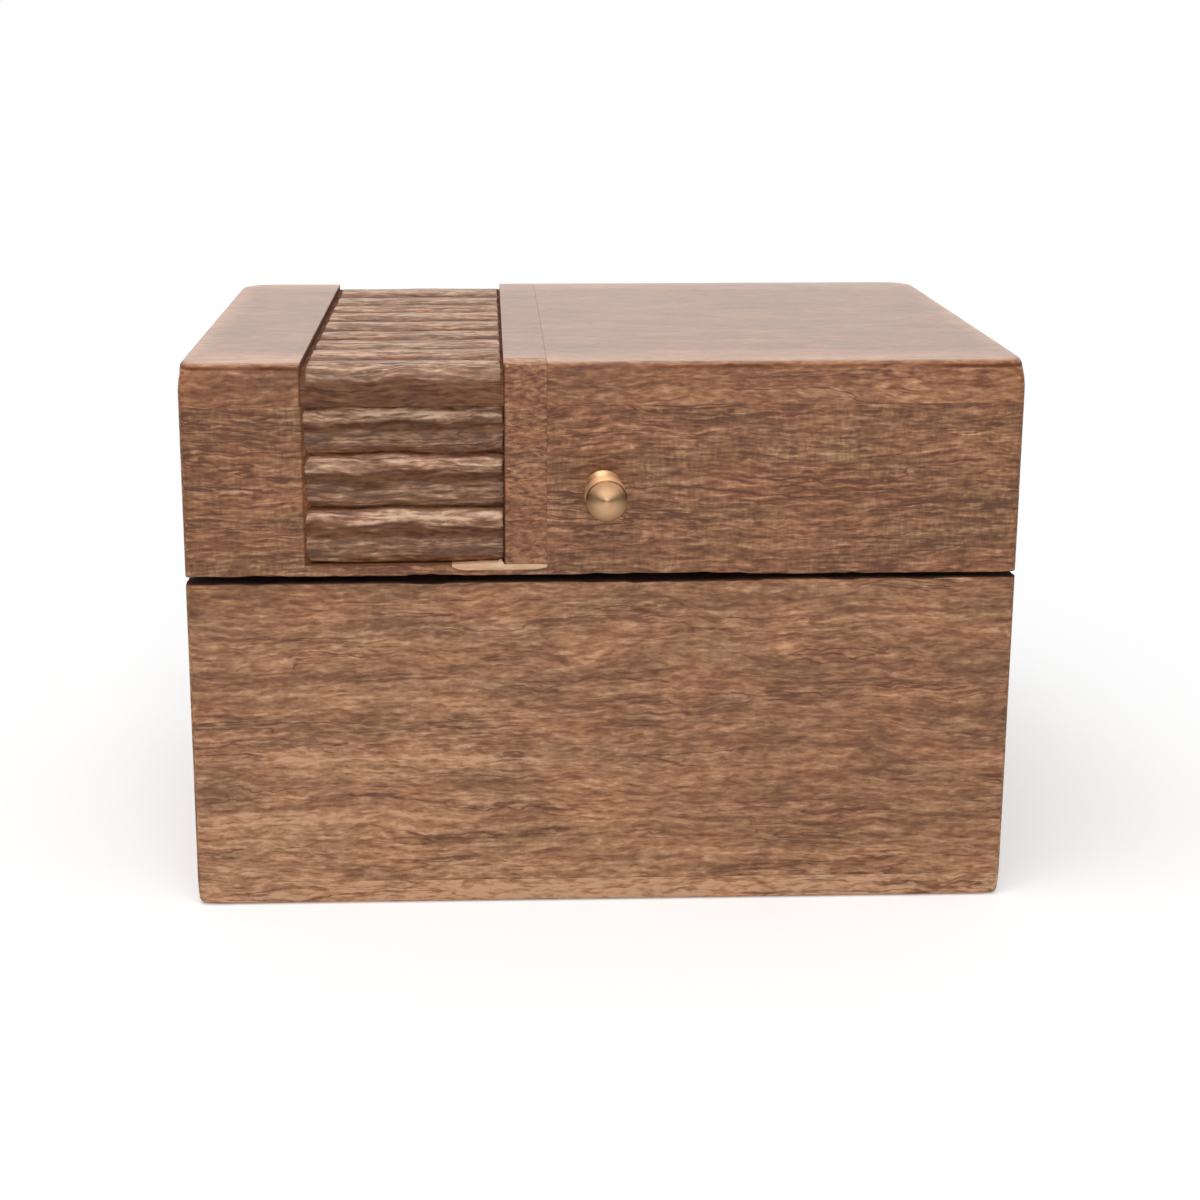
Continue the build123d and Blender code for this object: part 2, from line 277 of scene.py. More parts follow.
@dataclass(frozen=True)
class ArrisLine:
    """The wavering dark line painted a little under an arris."""

    level: float
    waver: float = 1.6
    waver_length: float = 16.667
    width: Span = (0.1, 0.6)
    broken_length: float = 22.222
    broken_range: Span = (0.38, 0.6)
    shown: Span = (0.1, 0.95)

    def draw(self, tree: Tree, here: Socket) -> Node:
        """Strength of the line at a place.

        Args:
            tree: The material's tree.
            here: The place in the frame, in metres.

        Returns:
            The node of the strength, from 0 off the line to nearly 1 on it.
        """
        height = add_node(tree, SEPARATE, {"Vector": here}).outputs["Z"]
        waver = {"Vector": here, "Scale": 1 / (self.waver_length * MM), "Detail": 3.0}
        waver = add_node(tree, TEX_NOISE, waver)
        shifted = add_node(tree, MATH, (waver, self.waver * MM, height), operation="MULTIPLY_ADD")
        usual = (self.level + self.waver / 2) * MM
        away = add_node(tree, MATH, (shifted, usual), operation="SUBTRACT")
        away = add_node(tree, MATH, (away,), operation="ABSOLUTE")
        line = {
            "Value": away,
            "From Min": self.width[0] * MM,
            "From Max": self.width[1] * MM,
            "To Min": 1.0,
            "To Max": 0.0,
        }
        line = add_node(tree, MAP_RANGE, line, interpolation_type="SMOOTHSTEP")
        broken = {"Vector": here, "Scale": 1 / (self.broken_length * MM), "Detail": 2.0}
        broken = {
            "Value": add_node(tree, TEX_NOISE, broken),
            "From Min": self.broken_range[0],
            "From Max": self.broken_range[1],
            "To Min": self.shown[0],
            "To Max": self.shown[1],
        }
        broken = add_node(tree, MAP_RANGE, broken)
        return add_node(tree, MATH, (line, broken), operation="MULTIPLY")


@dataclass(frozen=True)
class MangoWood:
    """Mango wood, sawn, stained brown and waxed.

    Short wavy fibres with dark pores between them give a fine broken streak, patches
    of redder and greyer wood lie under it, and the wax gives a broad soft sheen.
    Lengths are millimetres, and the weights say how far each figure moves the tone,
    which runs from 0, the darkest shade, to 1, the palest.
    """

    name: str
    grain: Grain = Grain.ALONG_X
    cut_from: Place = (0.0, 0.0, 0.0)
    shades: tuple[str, ...] = ("#1d0c04", "#5a2c0e", "#875733", "#aa7a55", "#c89a77")
    stops: tuple[float, ...] = (0.0, 0.06, 0.5, 0.78, 1.0)
    grey_tint: Place = (0.94, 1.01, 1.0)
    red_tint: Place = (1.07, 0.98, 0.93)
    tint_range: Span = (0.34, 0.66)

    tone: float = 0.5
    darkest: float = 0.14
    # Painted light: the base grows paler towards its foot, for the floor's bounce light
    painted_foot_light: float = 0.0
    fibre: float = 1.25
    grit: float = 0.45
    fleck: float = 0.22
    streak: float = 0.6
    band: float = 0.4
    patch: float = 0.0
    cross: float = 0.15
    crease: float = 0.4
    calm: float = 0.0
    hollow: float = 0.95
    rubbed_and_lit: float = 0.3
    dark_line: ArrisLine | None = None

    relief: float = 0.16
    crease_depth: float = 0.6
    fleck_depth: float = 0.35
    polished_relief: float = 0.25
    roughness: float = 0.5
    fleck_dulls: float = 0.1
    gap_dulls: float = 0.5
    ior: float = 1.5
    wax: float = 0.3
    polish: float = 0.0
    wax_roughness: float = 0.34

    slow_bend: Figure = Figure(42.0, 15.0, 1.0)
    slow_bend_reach: float = 6.0
    quick_bend: Figure = Figure(6.0, 2.6, 2.0)
    quick_bend_reach: float = 1.7
    fibre_figure: Figure = Figure(4.0, 0.95, 2.5, 0.55)
    grit_figure: Figure = Figure(1.6, 0.7, 2.0)
    fleck_figure: Figure = Figure(4.5, 0.75, 2.0)
    fleck_range: Span = (0.46, 0.74)
    streak_figure: Figure = Figure(26.0, 1.6, 3.0, 0.55)
    band_figure: Figure = Figure(130.0, 9.0, 2.0)
    patch_figure: Figure = Figure(22.0, 7.0, 4.0, 0.6)
    cross_figure: Figure = Figure(0.8, 2.6, 2.5, 0.55)
    cross_range: Span = (0.35, 0.65)
    cross_shares: Span = (1.3, 0.6)
    crease_figure: Figure = Figure(40.0, 2.6, 2.0)
    crease_width: float = 0.03
    crease_gate: Figure = Figure(45.0, 8.0, 2.0)
    crease_gate_range: Span = (0.45, 0.58)

    def make(self) -> bpy.types.Material:
        """Build the material.

        Returns:
            The material, whose pattern follows Object coordinates.
        """
        material = new_material(self.name)
        tree = material.node_tree
        here = add_node(tree, "ShaderNodeTexCoord").outputs["Object"]
        wanted = {
            "Vector": here,
            "Location": self.cut_from,
            "Rotation": self.grain.value,
            "Scale": (1 / MM, 1 / MM, 1 / MM),
        }
        straight = add_node(tree, "ShaderNodeMapping", wanted)
        slow = self._bend(tree, straight, self.slow_bend, self.slow_bend_reach)
        wavy = self._bend(tree, slow, self.quick_bend, self.quick_bend_reach)
        patches = self.patch_figure.draw(tree, slow)
        fibres = self.fibre_figure.draw(tree, wavy)
        flecks = {
            "Value": self.fleck_figure.draw(tree, wavy),
            "From Min": self.fleck_range[0],
            "From Max": self.fleck_range[1],
        }
        flecks = add_node(tree, MAP_RANGE, flecks, interpolation_type="SMOOTHSTEP")
        crease = self._creases(tree, wavy)
        gap, rubbed_and_lit, polished = (
            add_node(tree, "ShaderNodeAttribute", attribute_name=name).outputs["Fac"]
            for name in ("hollow", "rubbed_and_lit", "polished")
        )

        # Each layer with its weight and its usual level, which leaves the tone as it is
        layers = (
            (fibres, self.fibre, 0.5),
            (self.grit_figure.draw(tree, straight), self.grit, 0.5),
            (self.streak_figure.draw(tree, wavy), self.streak, 0.5),
            (self.band_figure.draw(tree, straight), self.band, 0.5),
            (self._bars(tree, slow, patches), self.cross, 0.0),
            # Painted light: paler towards the foot of the base
            (self._foot(tree, here), self.painted_foot_light, 0.0),
            (flecks, -self.fleck, 0.25),
            (crease, -self.crease, 0.0),
        )
        tone = self.tone - sum(weight * usual for _, weight, usual in layers)
        tone = self._sum(tree, tone, [layer[:2] for layer in layers])
        calm = add_node(tree, MATH, (polished, self.calm), operation="MULTIPLY")
        tone = add_node(tree, MIX, {0: calm, 2: tone, 3: self.tone})
        # Patches move the tone, and it grows paler for rubbing wear and a painted highlight on shoulders,
        # crests, the slab's nose and level arrises
        centred = add_node(tree, MATH, (patches, 0.5), operation="SUBTRACT")
        tone = self._sum(tree, tone, ((centred, self.patch), (rubbed_and_lit, self.rubbed_and_lit)))
        tone = add_node(tree, MATH, (tone, self.darkest), operation="MAXIMUM")
        # The tone darkens by the hollow share, painted shade in gaps and grooves, and along the dark line
        # under an arris
        if self.dark_line is not None:
            line = self.dark_line.draw(tree, here)
            gap = add_node(tree, MATH, (line, gap), operation="MAXIMUM")
        left = self._sum(tree, 1.0, ((gap, -self.hollow),))
        tone = add_node(tree, MATH, (tone, left), operation="MULTIPLY")

        height = ((crease, -self.crease_depth), (flecks, -self.fleck_depth))
        smooth = {"Value": polished, "To Min": 1.0, "To Max": self.polished_relief}
        bump = {
            "Height": self._sum(tree, fibres, height),
            "Strength": add_node(tree, MAP_RANGE, smooth),
            "Distance": self.relief * MM,
        }
        gloss = self._sum(tree, self.roughness, ((flecks, self.fleck_dulls), (gap, self.gap_dulls)))
        gloss.use_clamp = True
        wax = self._sum(tree, self.wax, ((polished, self.polish),))
        clean = add_node(tree, MATH, (1.0, gap), operation="SUBTRACT")
        wax = add_node(tree, MATH, (wax, clean), operation="MULTIPLY", use_clamp=True)
        wanted = {
            "Base Color": self._stain_and_shade(tree, tone, patches),
            "Roughness": gloss,
            "Normal": add_node(tree, "ShaderNodeBump", bump),
            "IOR": self.ior,
            "Coat Weight": wax,
            "Coat Roughness": self.wax_roughness,
        }
        surface = add_node(tree, "ShaderNodeBsdfPrincipled", wanted)
        add_node(tree, "ShaderNodeOutputMaterial", {"Surface": surface})
        return material

    def _sum(
        self,
        tree: Tree,
        start: Node | float,
        layers: tuple[tuple[Node | Socket, float], ...],
    ) -> Node:
        """Add weighted layers to a level, one after another.

        Args:
            tree: The material's tree.
            start: The level without them.
            layers: Each layer with its weight.

        Returns:
            The node of the whole.
        """
        for layer, weight in layers:
            summed = (layer, weight, start)
            start = add_node(tree, MATH, summed, operation="MULTIPLY_ADD")
        return start

    def _bend(self, tree: Tree, at: Node, figure: Figure, reach: float) -> Node:
        """Shift a place across the fibres, so that they wave.

        Args:
            tree: The material's tree.
            at: The place in the log, in millimetres.
            figure: The size of the waves.
            reach: How far they shift, in millimetres.

        Returns:
            The shifted place.
        """
        swing = (figure.draw(tree, at).outputs["Color"], (0.5, 0.5, 0.5))
        swing = add_node(tree, VECTOR_MATH, swing, operation="SUBTRACT")
        return add_node(tree, VECTOR_MATH, (swing, (0.0, reach, reach), at), operation="MULTIPLY_ADD")

    def _foot(self, tree: Tree, here: Socket) -> Node:
        """Share of the way down the base.

        Args:
            tree: The material's tree.
            here: The place in the frame, in metres.

        Returns:
            The node of the share: 0 at the base's rim and 1 where it stands.
        """
        level = add_node(tree, SEPARATE, {"Vector": here}).outputs["Z"]
        rim = node_box("base_front")[1].z
        return add_node(tree, MAP_RANGE, {"Value": level, "From Min": rim * MM, "From Max": 0.0})

    def _bars(self, tree: Tree, at: Node, patches: Node) -> Node:
        """Fine bars across the fibres, stronger in some patches than in others.

        Args:
            tree: The material's tree.
            at: The place in the log, in millimetres.
            patches: The noise of the redder and greyer patches.

        Returns:
            The node of the bars, whose values spread around 0.
        """
        bars = add_node(tree, MATH, (self.cross_figure.draw(tree, at), 0.5), operation="SUBTRACT")
        share = {
            "Value": patches,
            "From Min": self.cross_range[0],
            "From Max": self.cross_range[1],
            "To Min": self.cross_shares[0],
            "To Max": self.cross_shares[1],
        }
        share = add_node(tree, MAP_RANGE, share)
        return add_node(tree, MATH, (bars, share), operation="MULTIPLY")

    def _creases(self, tree: Tree, at: Node) -> Node:
        """Thin dark lines where the saw tore the fibres.

        Args:
            tree: The material's tree.
            at: The place in the log, in millimetres.

        Returns:
            The node of their strength: 1 on a line, 0 off it.
        """
        apart = add_node(tree, MATH, (self.crease_figure.draw(tree, at), 0.5), operation="SUBTRACT")
        apart = add_node(tree, MATH, (apart,), operation="ABSOLUTE")
        line = {"Value": apart, "From Max": self.crease_width, "To Min": 1.0, "To Max": 0.0}
        line = add_node(tree, MAP_RANGE, line, interpolation_type="SMOOTHSTEP")
        shown = {
            "Value": self.crease_gate.draw(tree, at),
            "From Min": self.crease_gate_range[0],
            "From Max": self.crease_gate_range[1],
        }
        shown = add_node(tree, MAP_RANGE, shown)
        return add_node(tree, MATH, (line, shown), operation="MULTIPLY")

    def _stain_and_shade(self, tree: Tree, tone: Node, patches: Node) -> Socket:
        """Colour of a tone, drawn towards red or towards grey-gold by the patches.

        Args:
            tree: The material's tree.
            tone: The tone, from 0 to 1.
            patches: The noise of the redder and greyer patches.

        Returns:
            The socket of the colour.
        """
        ramp = add_node(tree, "ShaderNodeValToRGB", {"Fac": tone})
        stops = ramp.color_ramp.elements
        while len(stops) < len(self.shades):
            stops.new(0.5)
        for stop, position, shade in zip(stops, self.stops, self.shades):
            stop.position = position
            stop.color = linear(shade)
        tint = add_node(tree, "ShaderNodeValToRGB", {"Fac": patches})
        tints = zip(tint.color_ramp.elements, self.tint_range, (self.grey_tint, self.red_tint))
        for stop, position, colour in tints:
            stop.position = position
            stop.color = (*colour, 1.0)
        mixed = {0: 1.0, 6: ramp.outputs["Color"], 7: tint.outputs["Color"]}
        mixed = add_node(tree, MIX, mixed, data_type="RGBA", blend_type="MULTIPLY")
        return mixed.outputs[2]


@dataclass(frozen=True)
class TurnedBrass:
    """Brass turned on a lathe and left bright.

    The tool's rings run round the axis, so highlights fan out from the centre.
    """

    name: str = "turned_brass"
    colour: str = "#fbd0a3"
    shade: str = "#dba678"
    cloud_size: float = 2.857
    # Painted dark reflection of the wood along the head's front edge
    edge_reflection: str = "#7c5232"
    edge_width: float = 0.8
    roughness: float = 0.22
    side_roughness: float = 0.6
    side_range: Span = (-0.9, -0.3)
    spread: float = 0.8
    ring_pitch: float = 0.22
    ring_depth: float = 0.012

    def make(self, centre: Vector, edge: float) -> bpy.types.Material:
        """Build the material.

        Args:
            centre: A point on the axis of turning, which runs along Y, in metres.
            edge: How far in front of it the head's darkened edge lies, in metres.

        Returns:
            The material.
        """
        material = new_material(self.name)
        tree = material.node_tree
        place = add_node(tree, "ShaderNodeTexCoord").outputs
        offset = add_node(tree, VECTOR_MATH, (place["Object"], tuple(centre)), operation="SUBTRACT")
        flat = add_node(tree, VECTOR_MATH, (offset, (1.0, 0.0, 1.0)), operation="MULTIPLY")
        radius = add_node(tree, VECTOR_MATH, (flat,), operation="LENGTH")
        along = add_node(tree, SEPARATE, {"Vector": offset}).outputs["Y"]
        wanted = {
            "Base Color": self._colour(tree, place["Object"], along, edge),
            "Metallic": 1.0,
            "Roughness": self._gloss(tree, place["Normal"]),
            "Anisotropic": self.spread,
            "Tangent": self._across_rings(tree, place["Normal"], flat),
            "Normal": self._rings(tree, radius, along),
        }
        surface = add_node(tree, "ShaderNodeBsdfPrincipled", wanted)
        add_node(tree, "ShaderNodeOutputMaterial", {"Surface": surface})
        return material

    def _colour(
        self,
        tree: Tree,
        here: Socket,
        along: Socket,
        edge: float,
    ) -> Socket:
        """Clouded brass, with a painted dark reflection on the head's front edge.

        Args:
            tree: The material's tree.
            here: The place in the frame, in metres.
            along: The place along the axis, from the centre.
            edge: How far in front of the centre the edge lies, in metres.

        Returns:
            The socket of the colour.
        """
        cloud = {"Vector": here, "Scale": 1 / (self.cloud_size * MM), "Detail": 3.0}
        cloud = add_node(tree, TEX_NOISE, cloud)
        bright = {0: cloud, 6: linear(self.shade), 7: linear(self.colour)}
        bright = add_node(tree, MIX, bright, data_type="RGBA").outputs[2]
        # Painted dark reflection in a narrow band round the head's front edge
        at_edge = add_node(tree, MATH, (along, edge), operation="ADD")
        at_edge = add_node(tree, MATH, (at_edge,), operation="ABSOLUTE")
        at_edge = {
            "Value": at_edge,
            "From Max": self.edge_width * MM / 2,
            "To Min": 1.0,
            "To Max": 0.0,
        }
        at_edge = add_node(tree, MAP_RANGE, at_edge, interpolation_type="SMOOTHSTEP")
        mixed = {0: at_edge, 6: bright, 7: linear(self.edge_reflection)}
        return add_node(tree, MIX, mixed, data_type="RGBA").outputs[2]

    def _gloss(self, tree: Tree, normal: Socket) -> Node:
        """Roughness, which is low on the faced front and higher on the turned sides.

        Args:
            tree: The material's tree.
            normal: The surface's direction in the frame.

        Returns:
            The node of the roughness.
        """
        wanted = {
            "Value": add_node(tree, SEPARATE, {"Vector": normal}).outputs["Y"],
            "From Min": self.side_range[0],
            "From Max": self.side_range[1],
            "To Min": self.roughness,
            "To Max": self.side_roughness,
        }
        return add_node(tree, MAP_RANGE, wanted)

    def _across_rings(self, tree: Tree, normal: Socket, flat: Node) -> Node:
        """Direction on the surface that crosses the tool's rings.

        Args:
            tree: The material's tree.
            normal: The surface's direction in the frame.
            flat: The way out from the axis.

        Returns:
            The node of the tangent.
        """
        ring_way = add_node(tree, VECTOR_MATH, ((0.0, 1.0, 0.0), flat), operation="CROSS_PRODUCT")
        across = add_node(tree, VECTOR_MATH, (normal, ring_way), operation="CROSS_PRODUCT")
        across = add_node(tree, VECTOR_MATH, (across,), operation="NORMALIZE")
        return add_node(
            tree,
            "ShaderNodeVectorTransform",
            {"Vector": across},
            vector_type="VECTOR",
            convert_from="OBJECT",
            convert_to="WORLD",
        )

    def _rings(self, tree: Tree, radius: Node, along: Socket) -> Node:
        """Bump of the tool's rings, on the face and along the sides.

        Args:
            tree: The material's tree.
            radius: Distance from the axis.
            along: The place along the axis.

        Returns:
            The bump node.
        """
        reach = add_node(tree, MATH, (radius, along), operation="ADD")
        rings = {"W": reach, "Scale": 1 / (self.ring_pitch * MM), "Detail": 2.0}
        rings = add_node(tree, TEX_NOISE, rings, noise_dimensions="1D")
        bump = {"Height": rings, "Strength": 0.5, "Distance": self.ring_depth * MM}
        return add_node(tree, "ShaderNodeBump", bump)


@dataclass(frozen=True)
class DrawnMetal:
    """Sheet or wire metal, tumbled after stamping: fine scratches and a dulled gloss."""

    name: str
    colour: str
    shade: str
    roughness: float
    scratch: Figure = Figure(3.5, 0.09, 2.0, 0.6)
    scratch_depth: float = 0.02
    scratch_gloss: float = 0.2
    cloud: Figure = Figure(2.2, 2.2, 3.0, 0.6)

    def make(self) -> bpy.types.Material:
        """Build the material.

        Returns:
            The material, whose scratches run along X.
        """
        material = new_material(self.name)
        tree = material.node_tree
        here = add_node(tree, "ShaderNodeTexCoord").outputs["Object"]
        at = add_node(tree, "ShaderNodeMapping", {"Vector": here, "Scale": (1 / MM, 1 / MM, 1 / MM)})
        scratches = self.scratch.draw(tree, at)
        mixed = {0: self.cloud.draw(tree, at), 6: linear(self.shade), 7: linear(self.colour)}
        mixed = add_node(tree, MIX, mixed, data_type="RGBA")
        gloss = (scratches, self.scratch_gloss, self.roughness - self.scratch_gloss / 2)
        gloss = add_node(tree, MATH, gloss, operation="MULTIPLY_ADD")
        bump = {"Height": scratches, "Strength": 0.5, "Distance": self.scratch_depth * MM}
        wanted = {
            "Base Color": mixed.outputs[2],
            "Metallic": 1.0,
            "Roughness": gloss,
            "Normal": add_node(tree, "ShaderNodeBump", bump),
        }
        surface = add_node(tree, "ShaderNodeBsdfPrincipled", wanted)
        add_node(tree, "ShaderNodeOutputMaterial", {"Surface": surface})
        return material


class Mitre(Enum):
    """Which pair of a wall's ends is mitred: the axis that its length follows."""

    NONE = -1
    LENGTH_X = 0
    LENGTH_Y = 1


@dataclass(frozen=True)
class Recess:
    """A rectangular sinking in one face of a board, in millimetres of the frame."""

    axis: int
    side: int
    low: Place
    high: Place
    depth: float


@dataclass(frozen=True)
class GapShade:
    """Painted shade in a gap, which fades out over the wood beside it."""

    low: Place
    high: Place
    fade: float = 0.45
    unevenness: float = 0.7
    unevenness_size: float = 4.0
    strength: float = 1.0

    def depth(self, points: np.ndarray) -> np.ndarray:
        """How dark each point is, from 0 to 1.

        Args:
            points: Points in millimetres, one row each.

        Returns:
            One share for each point.
        """
        beyond = np.maximum(np.array(self.low) - points, points - np.array(self.high))
        away = np.linalg.norm(np.maximum(beyond, 0), axis=1)
        dark = np.zeros(len(points))
        for row in np.nonzero(away < 2 * self.fade)[0]:
            swing = noise.noise(Vector(points[row]) / self.unevenness_size)
            reach = self.fade * (1 + self.unevenness * swing)
            dark[row] = max(0.0, 1 - away[row] / reach)
        return dark * self.strength


@dataclass(frozen=True)
class WornBlock:
    """The outer form of a whole body, whose arrises hands have softened.

    seam_side is -1 where the lid's and the base's rims meet below it and 1 where
    they meet above it. The seam's arrises are eased less than the others. Each
    place on the faces is hollowed, each place on the arrises is nicked as well, and
    the rim at the seam is dented and worn, most up to worn_until's first X.
    """

    low: Vector
    high: Vector
    seam_side: int
    rounds: Place = (1.6, 1.2, 1.4)
    seam_rounds: Place = (0.25, 0.3, 0.3)
    far: float = 100.0
    skin: float = 1.1
    # Painted shade along the seam where the lid meets the base.
    dent: float = 0.07
    dent_size: float = 17.0
    nick: float = 0.3
    # The painted shade, which the walls of both bodies share.
    nick_size: float = 3.3
    small_nick_size: float = 1.2
    unnicked: float = 0.1
    rim_dent: float = 0.7
    rim_dent_size: float = 8.0
    small_rim_dent_size: float = 1.7
    small_share: float = 0.4
    rim_wear: float = 0.3
    rim_corner_spared: float = 0.8
    worn_until: Span = (22.0, 42.0)
    corner_reach: float = 6.5
    corner_wear: float = 0.5
    corner_shares: Place = (1.0, 1.0, 0.5)
    pale_reach: Place = (6.0, 16.0, 0.5)
    polished_reach: float = 0.5

    def shape(self, points: np.ndarray) -> np.ndarray:
        """Round and wear the points of a board of this block.

        Args:
            points: Points in millimetres, one row each.

        Returns:
            The same points on the worn form.
        """
        low, high = np.array(self.low), np.array(self.high)
        away = np.array((0.0, 0.0, self.far))
        if self.seam_side < 0:
            points = ease(points, low, high + away, self.seam_rounds)
            points = ease(points, low - away, high, self.rounds)
        else:
            points = ease(points, low - away, high, self.seam_rounds)
            points = ease(points, low, high + away, self.rounds)
        return self._wear(self._round_corners(points))

    def rubbed_and_lit(self, points: np.ndarray) -> np.ndarray:
        """How far each point is paled by rubbing wear and a painted highlight: most on the level arrises.

        Args:
            points: Points in millimetres, one row each.

        Returns:
            One share for each point.
        """
        near, middle = self._near_faces(points, np.array(self.pale_reach))
        share = np.minimum(near[:, 2], near[:, :2].max(axis=1))
        share[np.sign(points[:, 2] - middle[2]) == self.seam_side] = 0
        return share

    def polished(self, points: np.ndarray) -> np.ndarray:
        """How far hands have waxed each point of the lid's level top.

        Args:
            points: Points in millimetres, one row each.

        Returns:
            One share for each point: 1 on the top and 0 a little below it.
        """
        if self.seam_side > 0:
            return np.zeros(len(points))
        return np.clip((points[:, 2] - self.high.z) / self.polished_reach + 1, 0, 1)

    def _near_faces(self, points: np.ndarray, reach: np.ndarray | float) -> tuple[np.ndarray, np.ndarray]:
        """How near each point lies to the block's faces.

        Args:
            points: Points in millimetres, one row each.
            reach: Distance in from a face at which a point no longer counts as near.

        Returns:
            A share for each point and axis, from 0 to 1 on a face, and the middle.
        """
        low, high = np.array(self.low), np.array(self.high)
        middle, half = (low + high) / 2, (high - low) / 2
        return np.clip((np.abs(points - middle) - half) / reach + 1, 0, 1), middle

    def _round_corners(self, points: np.ndarray) -> np.ndarray:
        """Round the four corners away from the seam, which knocks reach first.

        Args:
            points: Points in millimetres, one row each.

        Returns:
            The moved points.
        """
        near, middle = self._near_faces(points, self.corner_reach)
        share = near.prod(axis=1) ** 2
        share[np.sign(points[:, 2] - middle[2]) == self.seam_side] = 0
        reach = np.array(self.corner_shares) * self.corner_wear
        return points + np.sign(middle - points) * share[:, None] * reach

    def _wear(self, points: np.ndarray) -> np.ndarray:
        """Sink the faces a little unevenly, and nick their arrises.

        Args:
            points: Points in millimetres, one row each.

        Returns:
            The moved points.
        """
        near, middle = self._near_faces(points, self.skin)
        arris = np.sort(near, axis=1)[:, 1]
        worn = points.copy()
        for row in np.nonzero(near.max(axis=1) > 0)[0]:
            place = Vector(points[row])
            hollow = 0.5 + 0.5 * noise.noise(place / self.dent_size)
            chip = noise.noise(place / self.nick_size)
            chip += self.small_share * noise.noise(place / self.small_nick_size)
            chip = max(0.0, chip - self.unnicked)
            sink = self.dent * hollow + self.nick * chip * arris[row]
            toward = np.sign(middle - points[row])
            worn[row] += toward * near[row] * sink
            if toward[2] == -self.seam_side:
                waver = noise.noise(place / self.rim_dent_size)
                waver += self.small_share * noise.noise(place / self.small_rim_dent_size)
                wear = self.rim_dent * max(0.0, waver)
                wear += np.interp(place.x, self.worn_until, (self.rim_wear, 0.0))
                wear *= 1 - self.rim_corner_spared * near[row, 0] * near[row, 1]
                worn[row, 2] += toward[2] * near[row, 2] * wear
        return worn


def ease(points: np.ndarray, low: np.ndarray, high: np.ndarray, rounds: Place) -> np.ndarray:
    """Round the arrises of a block, and what lies under them, without cutting.

    Args:
        points: Points in millimetres, one row each.
        low: The block's lowest corner.
        high: Its highest corner.
        rounds: The radius along each axis.

    Returns:
        The moved points.
    """
    radius = np.array(rounds)
    middle, half = (low + high) / 2, (high - low) / 2
    away = points - middle
    over = np.clip((np.abs(away) - (half - radius)) / radius, 0, 1)
    length = np.linalg.norm(over, axis=1, keepdims=True)
    share = over.max(axis=1, keepdims=True) / np.where(length > 0, length, 1)
    return points - np.sign(away) * radius * over * (1 - share)


